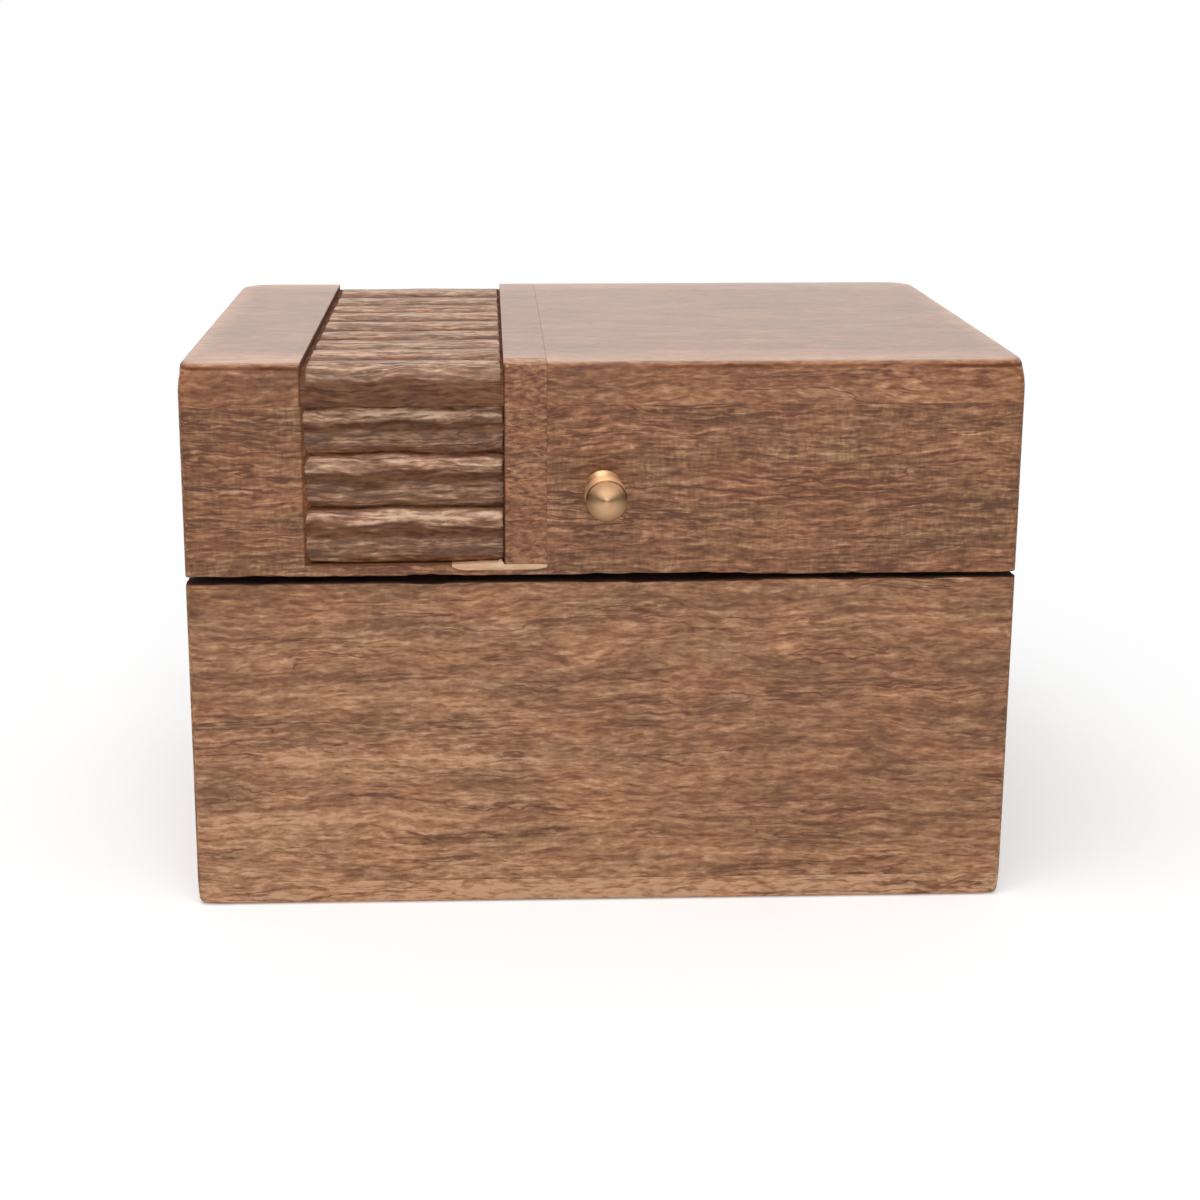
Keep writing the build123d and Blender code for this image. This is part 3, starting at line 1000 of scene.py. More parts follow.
@dataclass(frozen=True)
class Board:
    """One board, planed to its CAD node's box, with its own small eased edges.

    Its grid of points is close at the edges, by edge_steps in from them, and round
    its recesses, by recess_steps to both sides of a recess's edge.
    """

    node: str
    finish: str
    mitre: Mitre = Mitre.NONE
    recesses: tuple[Recess, ...] = ()
    gap_shades: tuple[GapShade, ...] = ()
    joint_ease: float = 0.13
    mesh_step: float = 1.9
    edge_steps: tuple[float, ...] = (0.0, 0.07, 0.13, 0.3, 0.5, 0.75, 1.05, 1.4)
    recess_steps: tuple[float, ...] = (0.01, 0.15, 0.4)
    least_step: float = 1e-4
    face_tolerance: float = 1e-3
    sharp: float = 38.0

    def build(self, block: WornBlock) -> bpy.types.Mesh:
        """Build the board's mesh.

        Args:
            block: The outer form that the board is trimmed to.

        Returns:
            The mesh, in metres.
        """
        low, high = (np.array(corner) for corner in node_box(self.node))
        reach = np.zeros(3)
        if self.mitre is not Mitre.NONE:
            axis = self.mitre.value
            low[axis], high[axis] = block.low[axis], block.high[axis]
            reach[axis] = 1.0
        lines = [self._lines(axis, low[axis], high[axis]) for axis in range(3)]
        points, quads = shell(lines)
        for recess in self.recesses:
            points = self._sink(points, recess, low, high)
        points = self.trim(points)
        points = ease(points, low - reach, high + reach, (self.joint_ease,) * 3)
        if self.mitre is not Mitre.NONE:
            points = self._cut_mitres(points, low, high)
        # Painted shade in the gaps beside the board
        dark = [gap_shade.depth(points) for gap_shade in self.gap_shades]
        points = block.shape(points)
        mesh = bpy.data.meshes.new(self.node)
        mesh.from_pydata((points * MM).tolist(), [], quads)
        # Paler arrises for rubbing wear and a painted highlight, the waxed top, and the painted shade by
        # the gaps
        shades = {"rubbed_and_lit": block.rubbed_and_lit(points), "polished": block.polished(points)}
        if dark:
            shades["hollow"] = np.max(dark, axis=0)
        for name, shares in shades.items():
            layer = mesh.attributes.new(name, "FLOAT", "POINT")
            layer.data.foreach_set("value", shares.astype(np.float32))
        mesh.shade_smooth()
        mesh.set_sharp_from_angle(angle=math.radians(self.sharp))
        return mesh

    def trim(self, points: np.ndarray) -> np.ndarray:
        """A board's own last cut before its edges are eased: none on most."""
        return points

    def _lines(self, axis: int, low: float, high: float) -> list[float]:
        """Places of the grid's lines on one axis, closest at the edges.

        Args:
            axis: The axis that the places lie on.
            low: The board's lower end on it.
            high: The board's upper end on it.

        Returns:
            The places, from low to high.
        """
        span = high - low
        steps = [step for step in self.edge_steps if step < span / 2]
        inner = max(1, round((span - 2 * steps[-1]) / self.mesh_step))
        spread = (span - 2 * steps[-1]) / inner
        lines = {low + step for step in steps} | {high - step for step in steps}
        lines |= {low + steps[-1] + number * spread for number in range(inner + 1)}
        edges = [
            edge
            for recess in self.recesses
            if recess.axis != axis
            for edge in (recess.low[axis], recess.high[axis])
            if low < edge < high
        ]
        clear = self.recess_steps[-1] + self.joint_ease / 2
        for edge in edges:
            lines = {line for line in lines if abs(line - edge) > clear} | {low, high}
            lines |= {edge + side * step for step in self.recess_steps for side in (-1, 1)}
        ordered = sorted(line for line in lines if low <= line <= high)
        pairs = zip(ordered, ordered[1:])
        return [ordered[0]] + [after for before, after in pairs if after - before > self.least_step]

    def _sink(self, points: np.ndarray, recess: Recess, low: np.ndarray, high: np.ndarray) -> np.ndarray:
        """Press a recess into its face.

        Args:
            points: Points in millimetres, one row each.
            recess: The recess.
            low: The board's lowest corner.
            high: Its highest corner.

        Returns:
            The moved points.
        """
        face = low if recess.side < 0 else high
        inside = np.abs(points[:, recess.axis] - face[recess.axis]) < self.face_tolerance
        for axis in range(3):
            if axis != recess.axis:
                inside &= points[:, axis] > recess.low[axis]
                inside &= points[:, axis] < recess.high[axis]
        sunk = points.copy()
        sunk[inside, recess.axis] -= recess.side * recess.depth
        return sunk

    def _cut_mitres(self, points: np.ndarray, low: np.ndarray, high: np.ndarray) -> np.ndarray:
        """Shorten a wall towards its inner face, at 45 degrees.

        Args:
            points: Points in millimetres, one row each.
            low: The wall's lowest corner, at its full length.
            high: Its highest corner.

        Returns:
            The moved points.
        """
        length_axis = self.mitre.value
        depth_axis = 1 - length_axis
        outer = low if high[depth_axis] < -low[depth_axis] else high
        inwards = np.abs(points[:, depth_axis] - outer[depth_axis])
        half = (high[length_axis] - low[length_axis]) / 2
        cut = points.copy()
        cut[:, length_axis] *= (half - inwards) / half
        return cut


def shell(lines: list[list[float]]) -> tuple[np.ndarray, list[tuple[int, ...]]]:
    """Closed skin of a block of grid lines.

    Args:
        lines: Places of the lines along X, Y and Z.

    Returns:
        The points, and the outward quads between them.
    """
    counts = [len(places) for places in lines]
    numbers = np.arange(counts[0] * counts[1] * counts[2]).reshape(counts)
    quads = []
    for axis in range(3):
        for side in (0, -1):
            face = np.moveaxis(numbers, (axis, (axis + 1) % 3, (axis + 2) % 3), (0, 1, 2))[side]
            corners = (face[:-1, :-1], face[1:, :-1], face[1:, 1:], face[:-1, 1:])
            loop = np.stack([corner.ravel() for corner in corners], axis=1)
            quads.append(loop if side else loop[:, ::-1])
    quads = np.concatenate(quads)
    used, quads = np.unique(quads, return_inverse=True)
    grid = np.stack(np.meshgrid(*lines, indexing="ij"), axis=-1).reshape(-1, 3)
    return grid[used], [tuple(quad) for quad in quads.reshape(-1, 4).tolist()]


class WedgeForm:
    """The pale wedge's outline, split off by hand: levels at places along its length."""

    def __init__(self) -> None:
        """Measure the outline against the wedge's and the filler strip's nodes."""
        self.low, self.high = node_box("light_wedge")
        left, right = self.low.x, self.high.x
        step = node_box("front_filler_strip")[0].x
        self.below = {left: 0.45, left + 0.8: 0.9, left + 3.0: 1.2, right - 2.0: 1.15, right: 0.7}
        self.above = {
            left: 0.0,
            left + 4.0: 0.2,
            step - 5.0: 0.35,
            step - 1.3: 0.4,
            step - 0.5: 1.1,
            step - 0.05: 0.0,
        }

    def reach_down(self, x: np.ndarray) -> np.ndarray:
        """How far the wedge reaches below the rail's top at each x."""
        return np.interp(x, list(self.below), list(self.below.values()))

    def reach_up(self, x: np.ndarray) -> np.ndarray:
        """How far it stands up before the panel at each x, to a splinter at its end."""
        return np.interp(x, list(self.above), list(self.above.values()))


@dataclass(frozen=True)
class ChannelBoard(Board):
    """The lid's front wall, whose rail under the channel gives way to the wedge."""

    rail_foot: float = 0.5
    behind: float = 0.01
    over: float = 0.02

    def trim(self, points: np.ndarray) -> np.ndarray:
        """Press the rail's face down along the wedge.

        Args:
            points: Points in millimetres, one row each.

        Returns:
            The moved points.
        """
        form = WedgeForm()
        low, high = form.low, form.high
        foot = node_box(self.node)[0].z + self.rail_foot
        x, y, z = points.T
        under = (x > low.x) & (x < high.x) & (y < high.y - self.behind)
        under &= (z > foot) & (z < high.z + self.over)
        share = (z - foot) / (high.z - foot)
        cut = points.copy()
        cut[under, 2] -= (form.reach_down(x) * share)[under]
        return cut


@dataclass(frozen=True)
class WedgeBoard(Board):
    """The pale wedge: level below, pointed at its left end and split off at its right."""

    def trim(self, points: np.ndarray) -> np.ndarray:
        """Set the underside and the top to the wedge's outline.

        Args:
            points: Points in millimetres, one row each.

        Returns:
            The moved points.
        """
        form = WedgeForm()
        below, above = form.reach_down(points[:, 0]), form.reach_up(points[:, 0])
        share = (points[:, 2] - form.low.z) / (form.high.z - form.low.z)
        cut = points.copy()
        cut[:, 2] = form.high.z - below + (below + above) * share
        return cut


@dataclass
class GougeTree:
    """Geometry tree of a row of reeds, flat on XY with its crests along X.

    It works in millimetres. A stretch is the scale of a noise along the reeds, across
    them and over the seeds. half_reeds says how much of the first and of the last reed
    ends higher, and uneven_depth how much a reed's depth swings, over which share of
    it. The other pairs are the ranges over which a share runs.
    """

    layers: int = 9
    crowding: float = 0.75
    waver_scale: float = 0.07
    waver_reach: float = 3.0
    row_end: float = 0.99999
    half_reeds: Span = (0.45, 0.55)
    uneven_depth: Span = (0.3, 0.85)
    uneven_crest: float = 0.22
    marks_stretch: Place = (0.16, 0.8, 1.0)
    marks_level: float = 0.7
    marks_reach: float = 2.0
    ragged_stretch: Place = (0.0, 0.22, 1.0)
    border_slope: Span = (-0.25, 0.02)
    closed_depth: float = 0.25
    blend: float = 0.3
    end_wear: float = 0.55
    top_layers: Span = (0.84, 0.99)
    end_shade: Span = (0.5, 2.0)
    patchy_stretch: Place = (0.09, 0.3, 1.0)
    patchy_range: Span = (0.35, 0.6)
    patchy_least: float = 0.35
    border_shade: Span = (-0.1, 0.4)
    band_stretch: Place = (0.11, 0.5, 1.0)
    band_reach: float = 0.45
    step_place: float = 0.57
    step_width: Span = (0.05, 0.15)
    streak_stretch: Place = (0.07, 0.7, 1.0)
    streak_range: Span = (0.3, 0.6)
    streak_least: float = 0.3
    nose_range: Span = (5.0, 2.5)
    above_rim: Span = (0.7, 1.5)

    def __post_init__(self) -> None:
        """Open the tree with its blank, and find each point's place on the row."""
        sockets = {
            "Float": (
                "Reed Length", "Row Length", "Thickness", "Reeds", "Reed Depth", "Nose Drop",
                "Low Border", "High Border", "Border Depth", "Closed End", "Crest Drop",
                "End Round", "Waver", "Tool Marks", "Shade Start", "Shade Full", "Shaded Ends",
                "Darker Side", "Shaded Step", "Shaded Border", "Pale Centre", "Pale Reach",
                "Pale Level", "Pale Nose", "Seed",
            ),
            "Int": ("Columns", "Lines"),
            "Rotation": ("Turn",),
            "Vector": ("Place",),
            "Material": ("Material",),
        }
        tree = self.tree = open_tree("gouge_reeds", sockets)
        wanted = self.wanted = add_node(tree, "NodeGroupInput").outputs
        size = (wanted["Reed Length"], wanted["Row Length"], wanted["Thickness"])
        blank = {
            "Size": add_node(tree, COMBINE, size),
            "Vertices X": wanted["Columns"],
            "Vertices Y": wanted["Lines"],
            "Vertices Z": self.layers,
        }
        self.blank = add_node(tree, "GeometryNodeMeshCube", blank)
        at = add_node(tree, "GeometryNodeInputPosition")
        at = add_node(tree, SEPARATE, {"Vector": at}).outputs

        # Grid lines crowd towards the reeds' ends, where the surface turns down
        across = add_node(tree, MATH, (at["X"], wanted["Reed Length"]), operation="DIVIDE")
        across = add_node(tree, MATH, (across, 0.5), operation="ADD")
        turned = add_node(tree, MATH, (across, math.pi), operation="MULTIPLY")
        turned = add_node(tree, MATH, (turned,), operation="COSINE")
        crowded = add_node(tree, MATH, (turned, -0.5, 0.5), operation="MULTIPLY_ADD")
        across = add_node(tree, MIX, {0: self.crowding, 2: across, 3: crowded})
        x = (across, wanted["Reed Length"])
        self.x = add_node(tree, MATH, x, operation="MULTIPLY")
        half_row = add_node(tree, MATH, (wanted["Row Length"], 0.5), operation="MULTIPLY")
        self.y = add_node(tree, MATH, (at["Y"], half_row), operation="ADD")
        self.flat = add_node(tree, COMBINE, (self.x, self.y, wanted["Seed"]))
        height = add_node(tree, MATH, (at["Z"], wanted["Thickness"]), operation="DIVIDE")
        self.height = add_node(tree, MATH, (height, 0.5), operation="ADD")
        self.is_top = add_node(tree, MAP_RANGE, (self.height, *self.top_layers))

    def build(self) -> Tree:
        """Cut the row, paint shade into its grooves, borders and steps, and pale its crowns for rubbing
        wear and a painted highlight.

        Returns:
            The tree, with the float curves set_out and profile for the band to set.
        """
        tree = self.tree
        part, crest, reeded = self._reeds()
        inset, from_end, level = self._borders(crest, reeded)
        z = add_node(tree, MATH, (level, self.height), operation="MULTIPLY")
        put = add_node(tree, COMBINE, (self.x, self.y, z))

        # The steps' painted shade, and the crowns' rubbing wear and painted highlight, wander to and fro
        # across each reed
        band = add_node(tree, MATH, (self._noise(self.band_stretch), 0.5), operation="SUBTRACT")
        shifted = add_node(tree, MATH, (band, self.band_reach, part), operation="MULTIPLY_ADD")
        depth = add_node(tree, MATH, (crest, level), operation="SUBTRACT")
        shape = self.blank
        shares = {"hollow": self._stain_and_shade(depth, inset, from_end, shifted), "rubbed_and_lit": self._rub_and_light(shifted)}
        for name, share in shares.items():
            shape = add_node(
                tree,
                "GeometryNodeStoreNamedAttribute",
                {"Geometry": shape, "Name": name, "Value": share},
                data_type="FLOAT",
                domain="POINT",
            )
        carved = add_node(tree, "GeometryNodeSetPosition", {"Geometry": shape, "Position": put})
        close_tree(tree, self.wanted, carved)
        return tree

    def _noise(self, stretch: Place, detail: float = 2.0) -> Node:
        """Unevenness of hand work over the row.

        Args:
            stretch: Scale of the noise along the reeds, across them and over the seeds.
            detail: How much finer noise is laid over it.

        Returns:
            The noise node, whose values spread around 0.5.
        """
        at = add_node(self.tree, VECTOR_MATH, (self.flat, stretch), operation="MULTIPLY")
        return add_node(self.tree, TEX_NOISE, {"Vector": at, "Scale": 1.0, "Detail": detail})

    def _reeds(self) -> tuple[Node, Node, Node]:
        """Set the reeds out along the row and cut them to the profile.

        Returns:
            The nodes of the place across a reed, from 0 to 1, of the level of the
            reed's crest and of the level of the cut.
        """
        tree, wanted = self.tree, self.wanted
        waver = {"Vector": self.flat, "Scale": self.waver_scale, "Detail": 1.0}
        waver = (add_node(tree, TEX_NOISE, waver), 0.5)
        waver = add_node(tree, MATH, waver, operation="SUBTRACT")
        waver = add_node(tree, MATH, (waver, wanted["Waver"]), operation="MULTIPLY")
        share = add_node(tree, MATH, (waver, self.waver_reach, self.y), operation="MULTIPLY_ADD")
        share = add_node(tree, MATH, (share, wanted["Row Length"]), operation="DIVIDE")
        share = add_node(tree, MATH, (share, 0.0), operation="MAXIMUM")
        share = add_node(tree, MATH, (share, self.row_end), operation="MINIMUM")
        set_out = add_node(tree, "ShaderNodeFloatCurve", {"Value": share}, name="set_out")
        count = add_node(tree, MATH, (set_out, wanted["Reeds"]), operation="MULTIPLY")
        part = add_node(tree, MATH, (count,), operation="FRACT")
        number = add_node(tree, MATH, (count,), operation="FLOOR")
        profile = add_node(tree, "ShaderNodeFloatCurve", {"Value": part}, name="profile")
        cut = add_node(tree, MATH, (1.0, profile), operation="SUBTRACT")

        # The first half of the first reed and the last half of the last end higher
        first_half, last_half = self.half_reeds
        near_start = add_node(tree, MATH, (count, first_half), operation="LESS_THAN")
        last = add_node(tree, MATH, (wanted["Reeds"], last_half), operation="SUBTRACT")
        near_end = add_node(tree, MATH, (count, last), operation="GREATER_THAN")
        at_end = add_node(tree, MATH, (near_start, near_end), operation="MAXIMUM")
        depth = add_node(tree, MIX, {0: at_end, 2: wanted["Reed Depth"], 3: wanted["Nose Drop"]})
        uneven = add_node(tree, COMBINE, (number, wanted["Seed"]))
        uneven = add_node(tree, "ShaderNodeTexWhiteNoise", {"Vector": uneven}, noise_dimensions="3D")
        uneven = uneven.outputs["Value"]
        deeper = add_node(tree, MATH, (uneven, *self.uneven_depth), operation="MULTIPLY_ADD")
        crest = add_node(tree, MATH, (wanted["Thickness"], wanted["Crest Drop"]), operation="SUBTRACT")
        crest = add_node(tree, MATH, (uneven, -self.uneven_crest, crest), operation="MULTIPLY_ADD")
        marks = (self._noise(self.marks_stretch, 3.0), self.marks_level)
        marks = add_node(tree, MATH, marks, operation="SUBTRACT")
        marks = add_node(tree, MATH, (marks, wanted["Tool Marks"]), operation="MULTIPLY")
        reeded = add_node(tree, MATH, (cut, depth), operation="MULTIPLY")
        reeded = add_node(tree, MATH, (reeded, deeper), operation="MULTIPLY")
        reeded = add_node(tree, MATH, (crest, reeded), operation="SUBTRACT")
        reeded = add_node(tree, MATH, (marks, self.marks_reach, reeded), operation="MULTIPLY_ADD")
        return part, crest, reeded

    def _borders(self, crest: Node, reeded: Node) -> tuple[Node, Node, Node]:
        """Cut the borders at the reeds' ends, and wear the two ends of the row.

        Args:
            crest: The level of each reed's crest.
            reeded: The level of the cut reeds.

        Returns:
            The nodes of the distance in from the borders, of the distance from the
            nearer end of the row and of the carved level.
        """
        tree, wanted = self.tree, self.wanted
        ragged = add_node(tree, MATH, (self._noise(self.ragged_stretch), 0.5), operation="SUBTRACT")
        from_low = add_node(tree, MATH, (self.x, wanted["Low Border"]), operation="SUBTRACT")
        from_high = add_node(tree, MATH, (wanted["Reed Length"], self.x), operation="SUBTRACT")
        from_high = add_node(tree, MATH, (from_high, wanted["High Border"]), operation="SUBTRACT")
        inset = add_node(tree, MATH, (from_low, from_high), operation="MINIMUM")
        inset = add_node(tree, MATH, (inset, ragged), operation="ADD")
        shoulder = (crest, self._round_over(inset, wanted["End Round"]))
        shoulder = add_node(tree, MATH, shoulder, operation="SUBTRACT")
        to_end = add_node(tree, MATH, (wanted["Row Length"], self.y), operation="SUBTRACT")
        shallow = add_node(tree, MAP_RANGE, (to_end, 0.0, wanted["Closed End"], self.closed_depth))
        floor = add_node(tree, MATH, (wanted["Border Depth"], shallow), operation="MULTIPLY")
        floor = add_node(tree, MATH, (wanted["Thickness"], floor), operation="SUBTRACT")
        section = add_node(tree, MAP_RANGE, (inset, *self.border_slope, floor, shoulder))
        level = add_node(tree, MATH, (reeded, section, self.blend), operation="SMOOTH_MIN")
        from_end = add_node(tree, MATH, (self.y, to_end), operation="MINIMUM")
        level = (level, self._round_over(from_end, self.end_wear))
        level = add_node(tree, MATH, level, operation="SUBTRACT")
        level = add_node(tree, MATH, (level, wanted["Thickness"]), operation="MINIMUM")
        return inset, from_end, level

    def _round_over(self, inset: Node, radius: Socket | float) -> Node:
        """Drop of a quarter round at a distance in from its edge.

        Args:
            inset: The distance.
            radius: The round's radius.

        Returns:
            The node of the drop.
        """
        tree = self.tree
        kept = add_node(tree, MATH, (inset, 0.0), operation="MAXIMUM")
        kept = add_node(tree, MATH, (kept, radius), operation="MINIMUM")
        left = add_node(tree, MATH, (radius, kept), operation="SUBTRACT")
        under = add_node(tree, MATH, (left, left), operation="MULTIPLY")
        whole = add_node(tree, MATH, (radius, radius), operation="MULTIPLY")
        rise = add_node(tree, MATH, (whole, under), operation="SUBTRACT")
        rise = add_node(tree, MATH, (rise,), operation="SQRT")
        return add_node(tree, MATH, (radius, rise), operation="SUBTRACT")

    def _stain_and_shade(
        self,
        depth: Node,
        inset: Node,
        from_end: Node,
        shifted: Node,
    ) -> Node:
        """Painted shade in the grooves, the borders and the step on each reed.

        Args:
            depth: How deep a place lies under the crests.
            inset: Its distance in from the borders.
            from_end: Its distance from the nearer end of the row.
            shifted: Its uneven place across a reed.

        Returns:
            The node of the strength, from 0 to 1.
        """
        tree, wanted = self.tree, self.wanted
        sunk = add_node(tree, MAP_RANGE, (depth, wanted["Shade Start"], wanted["Shade Full"]))
        at_ends = add_node(tree, MAP_RANGE, (from_end, *self.end_shade, wanted["Shaded Ends"]))
        sunk = add_node(tree, MATH, (sunk, at_ends), operation="MULTIPLY")
        patchy = (self._noise(self.patchy_stretch), *self.patchy_range, self.patchy_least)
        patchy = add_node(tree, MAP_RANGE, patchy)
        sunk = add_node(tree, MATH, (sunk, patchy), operation="MULTIPLY")
        border = add_node(tree, MAP_RANGE, (inset, *self.border_shade, 1.0, 0.0))
        border = add_node(tree, MATH, (border, wanted["Shaded Border"]), operation="MULTIPLY")
        sunk = add_node(tree, MATH, (sunk, border), operation="MAXIMUM")
        step = add_node(tree, MATH, (shifted, self.step_place), operation="SUBTRACT")
        step = add_node(tree, MATH, (step,), operation="ABSOLUTE")
        step = (step, *self.step_width, 1.0, 0.0)
        step = add_node(tree, MAP_RANGE, step, interpolation_type="SMOOTHSTEP")
        step = add_node(tree, MATH, (step, wanted["Shaded Step"]), operation="MULTIPLY")
        upper = add_node(tree, MATH, (sunk, step), operation="MAXIMUM")
        # The side faces get a set darkness, and the top gets the painted shade
        return add_node(tree, MIX, {0: self.is_top, 2: wanted["Darker Side"], 3: upper})

    def _rub_and_light(self, shifted: Node) -> Node:
        """How far shoulders, crests and the slab's nose are paled, in streaks, for rubbing wear and a
        painted highlight.

        Args:
            shifted: The uneven place across a reed.

        Returns:
            The node of the share, from 0 to 1.
        """
        tree, wanted = self.tree, self.wanted
        streaks = (self._noise(self.streak_stretch), *self.streak_range, self.streak_least)
        streaks = add_node(tree, MAP_RANGE, streaks)
        aside = add_node(tree, MATH, (shifted, wanted["Pale Centre"]), operation="SUBTRACT")
        aside = add_node(tree, MATH, (aside,), operation="ABSOLUTE")
        crown = (aside, wanted["Pale Reach"], 0.0)
        crown = add_node(tree, MAP_RANGE, crown, interpolation_type="SMOOTHSTEP")
        crown = add_node(tree, MATH, (crown, wanted["Pale Level"]), operation="MULTIPLY")
        nose = add_node(tree, MAP_RANGE, (self.y, *self.nose_range, 0.0, wanted["Pale Nose"]))
        above_rim = add_node(tree, MAP_RANGE, (self.y, *self.above_rim))
        nose = add_node(tree, MATH, (nose, above_rim), operation="MULTIPLY")
        pale = add_node(tree, MATH, (crown, nose), operation="MAXIMUM")
        pale = add_node(tree, MATH, (pale, streaks), operation="MULTIPLY")
        return add_node(tree, MATH, (pale, self.is_top), operation="MULTIPLY")


@dataclass
class CarvedBand:
    """The band of gouged reeds over the lid: a slab on its top, a panel in its face.

    The reeds are widths in millimetres. A profile gives the level of a reed's section,
    from 0 in the groove to 1 on the crest, at places across it.
    """

    top_reeds: tuple[float, ...] = (12.0, 12.0, 14.0, 12.5, 14.0, 13.0, 12.0, 15.0, 15.5)
    front_reeds: tuple[float, ...] = (12.3, 12.1, 10.8)
    top_profile: tuple[Span, ...] = (
        (0.0, 0.0), (0.1, 0.42), (0.25, 0.82), (0.45, 1.0), (0.7, 0.86), (0.9, 0.44), (1.0, 0.0),
    )
    front_profile: tuple[Span, ...] = (
        (0.0, 0.0), (0.07, 0.42), (0.18, 0.74), (0.32, 0.9), (0.46, 0.84), (0.57, 0.72), (0.66, 0.86),
        (0.75, 1.0), (0.86, 0.84), (0.95, 0.45), (1.0, 0.0),
    )
    crest_drop: float = 0.4
    columns: int = 110
    sharp: float = 50.0

    def build(self, finish: bpy.types.Material) -> None:
        """Carve both pieces and put them in place.

        Args:
            finish: The stained wood of the reeds.
        """
        tree = GougeTree().build()
        slab_low, slab_high = node_box("carved_top_slab")
        panel_low, panel_high = node_box("carved_front_panel")
        shared = {
            "Reed Length": slab_high.x - slab_low.x,
            "Columns": self.columns,
            "Crest Drop": self.crest_drop,
            "Shaded Border": 0.9,
            "Material": finish,
        }
        top_sizes = {
            "Row Length": 120.0,
            "Thickness": 9.4,
            "Lines": 420,
            "Reed Depth": 1.8,
            "Nose Drop": 2.2,
            "Low Border": 1.1,
            "High Border": 0.5,
            "Border Depth": 1.7,
            "Closed End": 9.0,
            "End Round": 1.0,
            "Waver": 0.8,
            "Tool Marks": 0.2,
            "Shade Start": 0.7,
            "Shade Full": 1.8,
            "Shaded Ends": 0.0,
            "Darker Side": 0.6,
            "Shaded Step": 0.0,
            "Pale Centre": 0.4,
            "Pale Reach": 0.45,
            "Pale Level": 0.8,
            "Pale Nose": 1.0,
            "Seed": 4.0,
            "Place": slab_low * MM,
        }
        front_sizes = {
            "Row Length": panel_high.z - panel_low.z,
            "Thickness": 5.0,
            "Lines": 190,
            "Reed Depth": 2.3,
            "Nose Drop": 1.7,
            "Low Border": 0.08,
            "High Border": 0.12,
            "Border Depth": 1.3,
            "Closed End": 0.01,
            "End Round": 0.5,
            "Waver": 0.7,
            "Tool Marks": 0.3,
            "Shade Start": 0.9,
            "Shade Full": 2.2,
            "Shaded Ends": 1.0,
            "Darker Side": 0.0,
            "Shaded Step": 0.75,
            "Pale Centre": 0.85,
            "Pale Reach": 0.24,
            "Pale Level": 1.0,
            "Pale Nose": 0.0,
            "Seed": 19.0,
            "Turn": Euler((math.pi / 2, 0.0, 0.0)),
            "Place": Vector((panel_low.x, panel_high.y, panel_low.z)) * MM,
        }
        rows = (
            ("reeded_top_slab", "carved_top_slab", self.top_reeds, self.top_profile, top_sizes),
            ("reeded_front_panel", "carved_front_panel", self.front_reeds, self.front_profile, front_sizes),
        )
        for name, node, reeds, profile, sizes in rows:
            self._set_curves(tree, reeds, profile)
            sizes = {**shared, **sizes, "Reeds": float(len(reeds))}
            piece = grow_piece(name, tree, sizes, self.sharp)
            hand_over(piece, "lid", "carved_mango_wood", node)

    def _set_curves(self, tree: Tree, reeds: tuple[float, ...], profile: tuple[Span, ...]) -> None:
        """Give the tree one row's setting out and the gouge's profile.

        Args:
            tree: The gouge's tree.
            reeds: Widths of the reeds.
            profile: The section of one reed.
        """
        shares = np.concatenate(([0.0], np.cumsum(reeds))) / sum(reeds)
        counts = np.linspace(0.0, 1.0, len(shares))
        for name, points, handle in (
            ("set_out", tuple(zip(shares, counts)), "VECTOR"),
            ("profile", profile, "AUTO"),
        ):
            mapping = tree.nodes[name].mapping
            curve = mapping.curves[0]
            while len(curve.points) > 2:
                curve.points.remove(curve.points[1])
            for x, y in points[1:-1]:
                curve.points.new(float(x), float(y))
            ends = (curve.points[0], curve.points[-1])
            ends[0].location = points[0]
            ends[1].location = points[-1]
            for point in curve.points:
                point.handle_type = handle
            mapping.update()


